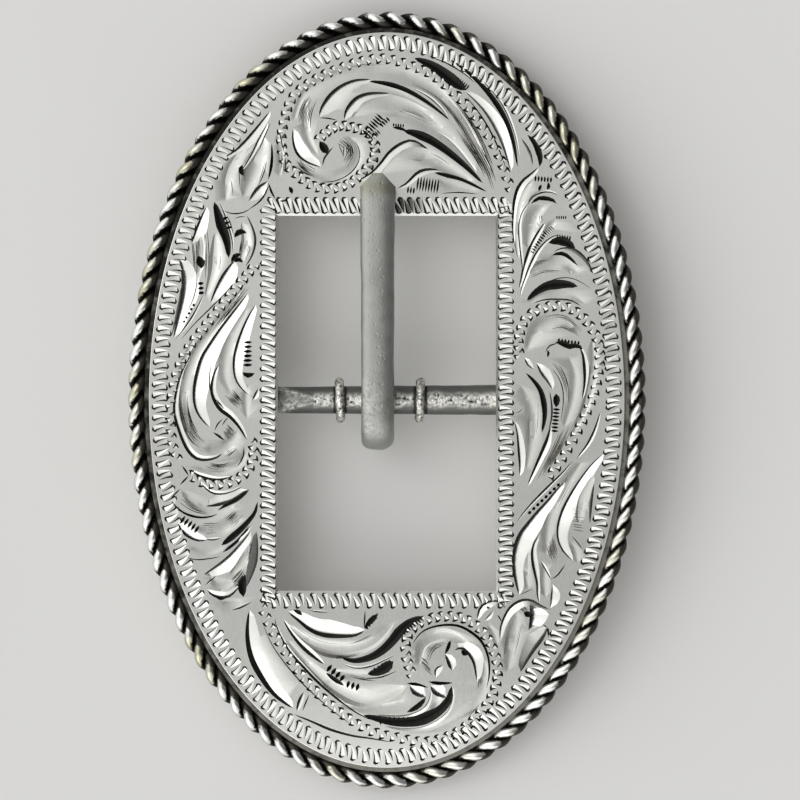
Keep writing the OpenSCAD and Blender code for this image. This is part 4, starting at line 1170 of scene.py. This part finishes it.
def buildRope():
    strand = rope["strandShare"] * rope["diameter"] / 2
    offset = rope["diameter"] / 2 - strand
    centre = ropeCentre(rope["turns"] * rope["stepsPerTurn"])
    bm = bmesh.new()
    for start in (0, math.pi):
        curve = bpy.data.curves.new("strand", "CURVE")
        curve.dimensions = "3D"
        curve.bevel_depth = strand
        curve.bevel_resolution = 3
        spline = curve.splines.new("POLY")
        spline.points.add(len(centre) - 1)
        for k, (spot, out, up) in enumerate(centre):
            turn = start - 2 * math.pi * k / rope["stepsPerTurn"]
            place = spot + offset * (out * math.cos(turn) + up * math.sin(turn))
            spline.points[k].co = (*place, 1)
        spline.use_cyclic_u = True
        thing = addObject("strand", curve)
        finished = thing.evaluated_get(bpy.context.evaluated_depsgraph_get())
        mesh = bpy.data.meshes.new_from_object(finished)
        bm.from_mesh(mesh)
        bpy.data.objects.remove(thing)
        bpy.data.curves.remove(curve)
        bpy.data.meshes.remove(mesh)
    bmesh.ops.remove_doubles(bm, verts=bm.verts, dist=0.001)
    bmesh.ops.recalc_face_normals(bm, faces=bm.faces)
    nearest = KDTree(len(centre))
    for k, (spot, out, up) in enumerate(centre):
        nearest.insert(spot, k)
    nearest.balance()
    crown = bm.verts.layers.float.new("crown")
    wearAndSheen = bm.verts.layers.float.new("wearAndSheen")
    reach, groove = rope["diameter"] / 2, rope["grooveReach"]
    for vert in bm.verts:
        spot, out, up = centre[nearest.find(vert.co)[1]]
        away = vert.co - spot
        vert[crown] = max(0.0, (away.length / reach - groove) / (1 - groove))
        # painted highlight: a crown stays bright only where it faces the light
        facing = away.normalized().dot((up + Vector(rope["litWay"])).normalized())
        vert[wearAndSheen] = vert[crown] * clamped((facing - rope["sheenStart"]) / rope["sheenSpread"])
    finishPiece(bm, "ropeEdge", [antiquedWire()], "frame", "buckle_frame", 60)


buildRope()
print("rope edge laid")

# Cross bar: a cast rod under both rails, with two wire rings soldered round it
bar = {
    "radius": 1.35,
    "height": 4.75,
    "reach": 14.0,
    "bevel": 0.5,
    "slice": 0.2,  # the rod is sliced this finely, to carry the wear
    "slices": 68,  # each way from the middle
    "shoulder": 3.3,  # length of the filed end, and how deep the file went
    "shoulderDepth": 0.5,
    "filedReach": 6.0,  # the cut ends within this of the window's edge
    "rightFull": 1.02,  # widths along the bar, as shares of the rod's
    "leftThin": 0.9,
    "skin": (0.05, 1.7),  # height and length of its unevenness
    "dulled": 0.58,  # how far the flanks are darkened
    "hollowDarkReflection": 0.75,  # and the hollow of the filed end, as painted dark reflection
    "filmPlace": 0.5,  # the dark ring beside each collar's middle
    "filmSpread": 0.2,
    "filmMost": 1.4,
    "rubWidth": 0.62,  # the rubbed strip on top as a share of the radius, and how far it wanders
    "rubDrift": 0.25,
    "rubLength": 1.3,
    "ridge": 0.85,  # where the painted highlights on the filed end start, and their width
    "glintWidth": 0.3,
}
collar = {
    "middle": 1.7,
    "wire": 0.4,
    "sides": 14,
    "steps": 56,
    "places": [(-4.3, 2.4), (3.05, -2.0)],  # place along the bar and lean in degrees
    "skin": (0.09, 0.8),
    "filmReach": 0.2,  # dark film fills the inner side
    "filmSpread": 0.3,
}
solder = {"middle": 12.3, "halves": (1.95, 2.3, 0.75), "sunk": 0.1, "skin": (0.08, 1.1), "filmAndShade": 0.2}


def tumbledCastMetal():
    # Cast nickel silver, tumbled in stone: satin grey with open pits 0.2 to 0.6 mm wide, dark film where
    # tumbling did not reach, bright rubbed metal, and an olive heat stain. On the bar's filed end the dark
    # film is painted dark reflection and the rubbed metal is painted highlight, and the tongue's rub is
    # painted lighter on its left side
    material, tree, place = newMaterial("tumbledCastMetal")
    layers = ("filmAndShade", "stain", "rubAndHighlight")
    filmAndShade, stain, rubAndHighlight = (addNode(tree, "Attribute", {"attribute_name": name})["Fac"] for name in layers)
    cloud = addNode(tree, "TexNoise", {"Scale": 1 / 1.3, "Detail": 5.0, "Vector": place})[0]
    grit = addNode(tree, "TexNoise", {"Scale": 1 / 0.3, "Detail": 4.0, "Vector": place})[0]
    skin = addNode(tree, "TexNoise", {"Scale": 1 / 0.16, "Detail": 3.0, "Vector": place})[0]
    spots = addNode(tree, "MapRange", {"From Min": 0.42, "From Max": 0.56, 0: grit})[0]
    holes = addNode(tree, "MapRange", {"From Min": 0.41, "From Max": 0.34, 0: grit})[0]
    bare = addNode(tree, "Math", {"operation": "MULTIPLY", 0: rubAndHighlight, 1: spots})[0]
    filled = addNode(tree, "Math", {"operation": "MULTIPLY", 0: rubAndHighlight, 1: holes})[0]
    black = addNode(tree, "Math", {"operation": "MAXIMUM", 0: filmAndShade, 1: filled})[0]
    tint = addNode(tree, "Mix", {"data_type": "RGBA", 0: cloud, 6: "#989994", 7: "#b7b8b4"})[2]
    for share, colour in ((stain, "#8b8a72"), (bare, "#f6f4ec"), (black, "#1c1c1a")):
        tint = addNode(tree, "Mix", {"data_type": "RGBA", 0: share, 6: tint, 7: colour})[2]
    satin = addNode(tree, "MapRange", {"To Min": 0.42, "To Max": 0.6, 0: cloud})[0]
    rough = addNode(tree, "Math", {"operation": "MULTIPLY_ADD", 0: bare, 1: -0.25, 2: satin})[0]
    pits = addNode(tree, "TexVoronoi", {"Scale": 1 / 0.5, "Randomness": 1.0, "Vector": place})
    hollow = addNode(tree, "MapRange", {"From Min": 0.0, "From Max": 0.28, 0: pits["Distance"]})[0]
    dents = addNode(tree, "Bump", {"Strength": 0.6, "Distance": 0.05 * mm, "Height": hollow})[0]
    coarse = addNode(tree, "Math", {"operation": "MULTIPLY_ADD", 0: rubAndHighlight, 1: 2.5, 2: 1.0})[0]
    relief = addNode(tree, "Math", {"operation": "MULTIPLY", 0: skin, 1: coarse})[0]
    lumps = addNode(tree, "Math", {"operation": "MULTIPLY_ADD", 0: grit, 1: rubAndHighlight, 2: relief})[0]
    marks = {"Strength": 0.5, "Distance": 0.05 * mm, "Height": lumps, "Normal": dents}
    grain = addNode(tree, "Bump", marks)[0]
    looks = {"Base Color": tint, "Metallic": 1.0, "Roughness": rough, "Normal": grain}
    return finishMaterial(material, looks)


castMetal = tumbledCastMetal()


def unevenSkin(bm, amount, size):  # castings are never quite true
    bm.normal_update()
    for vert in bm.verts:
        vert.co += vert.normal * amount * noise.noise(vert.co / size)


def wearLayers(bm):  # what the cast metal reads: dark film with some painted dark reflection, heat stain, and rubbed metal with some painted highlight
    return [bm.verts.layers.float.new(name) for name in ("filmAndShade", "stain", "rubAndHighlight")]


def fileFlat(bm, geom, place, way):  # files off what lies past a plane and closes the cut
    filed = bmesh.ops.bisect_plane(bm, geom=geom, plane_co=place, plane_no=way, clear_outer=True)
    rim = [g for g in filed["geom_cut"] if isinstance(g, bmesh.types.BMEdge)]
    bmesh.ops.triangle_fill(bm, edges=rim, use_beauty=True, use_dissolve=True)


def wearBar(bm, edge):
    filmAndShade, stain, rubAndHighlight = wearLayers(bm)
    for vert in bm.verts:
        near = min(abs(vert.co.x - place) for place, lean in collar["places"])
        vert[filmAndShade] = clamped(bar["filmMost"] - abs(near - bar["filmPlace"]) / bar["filmSpread"])
        if vert.co.z < 0:
            continue
        side = abs(vert.co.y) / bar["radius"]
        drift = bar["rubDrift"] * noise.noise(Vector((vert.co.x / bar["rubLength"], 0, 0)))
        vert[rubAndHighlight] = max(0.0, 1 - (side / (bar["rubWidth"] + drift)) ** 2)
        vert[filmAndShade] = max(vert[filmAndShade], bar["dulled"] * (1 - vert[rubAndHighlight]))
        past = vert.co.x + edge
        if past < bar["shoulder"]:  # on the filed end, a painted highlight runs in from each corner, and the hollow between gets a painted dark reflection
            ridge = bar["ridge"] * (1 - past / bar["shoulder"])
            vert[rubAndHighlight] = max(0.0, 1 - abs(side - ridge) / bar["glintWidth"])
            vert[filmAndShade] = (1 - vert[rubAndHighlight]) * (bar["hollowDarkReflection"] if side < ridge else bar["dulled"])


def buildBar():
    bm = bmesh.new()
    radius = bar["radius"]
    alongX = Matrix.Rotation(math.pi / 2, 4, "Y")
    ends = {"radius1": radius, "radius2": radius, "depth": 2 * bar["reach"]}
    bmesh.ops.create_cone(bm, cap_ends=True, segments=64, matrix=alongX, **ends)
    rims = [e for e in bm.edges if e.calc_face_angle(0) > 1]
    bmesh.ops.bevel(
        bm, geom=rims, offset=bar["bevel"], affect="EDGES", segments=3, profile=0.5, material=-1
    )
    for k in range(-bar["slices"], bar["slices"] + 1):
        place = (k * bar["slice"], 0, 0)
        bmesh.ops.bisect_plane(bm, geom=whole(bm), plane_co=place, plane_no=(1, 0, 0))
    edge = plate["windowWidth"] / 2
    for vert in bm.verts:  # the rod thins towards its left end
        share = clamped((vert.co.x + edge) / (2 * edge))
        vert.co.y *= bar["leftThin"] + (bar["rightFull"] - bar["leftThin"]) * share
    unevenSkin(bm, *bar["skin"])
    slant = math.atan(bar["shoulderDepth"] / bar["shoulder"])
    inner = -edge + bar["filedReach"]
    left = [g for g in whole(bm) if all(v.co.x < inner for v in getattr(g, "verts", [g]))]
    place = (-edge, 0, radius - bar["shoulderDepth"])
    fileFlat(bm, left, place, (-math.sin(slant), 0, math.cos(slant)))
    bmesh.ops.recalc_face_normals(bm, faces=bm.faces)
    wearBar(bm, edge)
    bmesh.ops.translate(bm, vec=(0, 0, bar["height"]), verts=bm.verts)
    finishPiece(bm, "crossBar", [castMetal], "frame", "buckle_frame")


def buildCollar(number, place, lean):
    bm = bmesh.new()
    ring = bmesh.ops.create_circle(bm, segments=collar["sides"], radius=collar["wire"])["verts"]
    bmesh.ops.translate(bm, vec=(0, collar["middle"], 0), verts=ring)
    turn = {"cent": (0, 0, 0), "axis": (1, 0, 0), "angle": 2 * math.pi, "steps": collar["steps"]}
    bmesh.ops.spin(bm, geom=bm.verts[:] + bm.edges[:], **turn, use_merge=True)
    bmesh.ops.remove_doubles(bm, verts=bm.verts, dist=0.001)
    bmesh.ops.recalc_face_normals(bm, faces=bm.faces)
    unevenSkin(bm, *collar["skin"])
    filmAndShade, stain, rubAndHighlight = wearLayers(bm)
    for vert in bm.verts:
        radius = math.hypot(vert.co.y, vert.co.z)
        vert[filmAndShade] = clamped((collar["middle"] + collar["filmReach"] - radius) / collar["filmSpread"])
        vert[rubAndHighlight] = 1 - vert[filmAndShade]
    leaning = Matrix.Rotation(math.radians(lean), 3, "Z")
    bmesh.ops.rotate(bm, cent=(0, 0, 0), matrix=leaning, verts=bm.verts)
    bmesh.ops.translate(bm, vec=(place, 0, bar["height"]), verts=bm.verts)
    finishPiece(bm, f"collar{number}", [castMetal], "frame", "buckle_frame", 60)


def buildSolder(number, side):  # a low mound of solder between a rail's back and the bar
    bm = bmesh.new()
    bmesh.ops.create_uvsphere(bm, u_segments=40, v_segments=20, radius=1)
    flat = {"plane_co": (0, 0, 0), "plane_no": (0, 0, 1)}
    bmesh.ops.bisect_plane(bm, geom=whole(bm), **flat, clear_outer=True)
    bmesh.ops.edgeloop_fill(bm, edges=[e for e in bm.edges if e.is_boundary])
    bmesh.ops.scale(bm, vec=solder["halves"], verts=bm.verts)
    unevenSkin(bm, *solder["skin"])
    filmAndShade = wearLayers(bm)[0]
    for vert in bm.verts:
        vert[filmAndShade] = solder["filmAndShade"]
    level = archHeight(0, 0) + solder["sunk"]
    bmesh.ops.translate(bm, vec=(side * solder["middle"], 0, level), verts=bm.verts)
    finishPiece(bm, f"solder{number}", [castMetal], "frame", "buckle_frame", 60)


buildBar()
for number, side in enumerate((-1, 1), 1):
    buildSolder(number, side)
for number, (place, lean) in enumerate(collar["places"], 1):
    buildCollar(number, place, lean)
print("cross bar, solder and collars built")

# Tongue: a rod bent round the bar. Its tip is filed to a blunt point and lies over the face.
tongue = {
    "middle": -0.85,
    "top": 8.57,
    "bottom": 6.37,
    "width": 3.0,
    "tipWidth": 3.26,
    "wideningStart": 4.0,
    "wideningPower": 1.5,
    "curveStart": 14.0,
    "curveRadius": 34.0,
    "reach": 20.8,
    "spare": 0.4,  # filed off again at the tip
    "bluntHalf": 0.45,
    "cornerAngle": 48.0,
    "eyeRadius": 3.6,
    "eyeCentre": (-1.0, 5.02),
    "eyeStart": 92.0,  # degrees round the bar where the eye starts, and how far it turns
    "eyeTurn": 246.0,
    "boreRadius": 1.45,
    "ease": 0.03,  # keeps the uneven skin off the bar
    "sides": 28,
    "curveSteps": 16,
    "rodSteps": 32,
    "eyeSteps": 32,
    "topPowers": (0.38, 0.8),  # of a section's height and width: lower is squarer
    "backPowers": (0.55, 0.7),
    "ridge": 0.25,  # where the two planes on top meet, and how much each falls away
    "leftFall": 0.05,
    "rightFall": 0.2,
    "skin": (0.05, 1.9),
    "wornAt": -0.6,  # the strap rubs the rod most here
    "wornReach": 4.0,
    "wornMost": 0.16,
    "highlightLean": 0.08,  # and more on its left side, the side towards the light, as painted highlight
    "stain": {"start": 18.2, "reach": 2.4, "patch": 1.1, "even": 0.5, "uneven": 0.8, "most": 1.4},
    "filmAndShade": {"start": 1.2, "stop": 3.0, "share": 0.5},  # darker on the rod's underside, between these places along it
}


def tongueSections():  # place, lean and half thickness of each section
    found = []
    thick = (tongue["top"] - tongue["bottom"]) / 2
    middle = tongue["top"] - thick
    turnRadius = tongue["curveRadius"] + thick
    past = tongue["reach"] + tongue["spare"] - tongue["curveStart"]
    for k in range(tongue["curveSteps"], -1, -1):  # the curved length, from the tip back
        angle = math.asin(past / turnRadius) * k / tongue["curveSteps"]
        y = tongue["curveStart"] + turnRadius * math.sin(angle)
        z = middle - turnRadius * (1 - math.cos(angle))
        found.append((y, z, -angle, thick))
    for k in range(1, tongue["rodSteps"] + 1):  # the straight length
        found.append((tongue["curveStart"] * (1 - k / tongue["rodSteps"]), middle, 0.0, thick))
    for k in range(1, tongue["eyeSteps"] + 1):  # round the bar, and nearly back to the rod
        angle = math.radians(tongue["eyeStart"] + tongue["eyeTurn"] * k / tongue["eyeSteps"])
        way = Vector((math.cos(angle), math.sin(angle)))
        inner = Vector((hinge.y, hinge.z)) + way * (tongue["boreRadius"] + tongue["ease"])
        toEye = inner - Vector(tongue["eyeCentre"])
        along = toEye.dot(way)
        room = math.sqrt(along**2 - toEye.length_squared + tongue["eyeRadius"] ** 2)
        outer = inner + way * (room - along)
        spot = (inner + outer) / 2
        found.append((spot.x, spot.y, angle - math.pi / 2, (outer - inner).length / 2))
    return found


def tongueCorner(side, height, half, thick):  # squarer on top, and filed there in two planes
    tall, broad = tongue["topPowers"] if height > 0 else tongue["backPowers"]
    rise = math.copysign(abs(height) ** tall, height) * thick
    if height > 0:
        past = side - tongue["ridge"]
        rise -= thick * (tongue["rightFall"] * past if past > 0 else -tongue["leftFall"] * past)
    return math.copysign(abs(side) ** broad, side) * half, rise


def wearTongue(bm):
    filmAndShade, stain, rubAndHighlight = wearLayers(bm)
    stained, filmed = tongue["stain"], tongue["filmAndShade"]
    for vert in bm.verts:
        wearAndSheen = 1 - abs(vert.co.y - tongue["wornAt"]) / tongue["wornReach"]
        # painted highlight: the rub grows towards the left side, where the light falls
        lean = tongue["highlightLean"] * (vert.co.x - tongue["middle"])
        vert[rubAndHighlight] = max(0.0, wearAndSheen) * (tongue["wornMost"] - lean)
        tip = max(0.0, (vert.co.y - stained["start"]) / stained["reach"])
        patch = stained["even"] + stained["uneven"] * noise.noise(vert.co / stained["patch"])
        vert[stain] = min(1.0, tip * patch * stained["most"])
        under = vert.co.z < tongue["bottom"] and filmed["start"] < vert.co.y < filmed["stop"]
        vert[filmAndShade] = filmed["share"] if under else 0.0


def buildTongue():
    bm = bmesh.new()
    rings = []
    start = tongue["wideningStart"]
    for y, z, turn, thick in tongueSections():
        share = max(0.0, (y - start) / (tongue["reach"] - start)) ** tongue["wideningPower"]
        half = (tongue["width"] + (tongue["tipWidth"] - tongue["width"]) * share) / 2
        ring = bmesh.ops.create_circle(bm, segments=tongue["sides"], radius=1)["verts"]
        for vert in ring:
            wide, rise = tongueCorner(vert.co.x, vert.co.y, half, thick)
            up = Vector((-math.sin(turn), math.cos(turn))) * rise
            vert.co = (tongue["middle"] + wide, y + up.x, z + up.y)
        rings.append(list({e for v in ring for e in v.link_edges}))
    for one, other in zip(rings, rings[1:]):
        bmesh.ops.bridge_loops(bm, edges=one + other)
    for edges in (rings[0], rings[-1]):
        bmesh.ops.edgeloop_fill(bm, edges=edges)
    angle = math.radians(tongue["cornerAngle"])
    for side in (-1, 1):  # the filed corners of the tip
        place = (tongue["middle"] + side * tongue["bluntHalf"], tongue["reach"], 0)
        fileFlat(bm, whole(bm), place, (side * math.sin(angle), math.cos(angle), 0))
    fileFlat(bm, whole(bm), (0, tongue["reach"], 0), (0, 1, 0))
    bmesh.ops.recalc_face_normals(bm, faces=bm.faces)
    unevenSkin(bm, *tongue["skin"])
    wearTongue(bm)
    finishPiece(bm, "tongueRod", [castMetal], "tongue", "tongue", 40)


buildTongue()
print("tongue built")
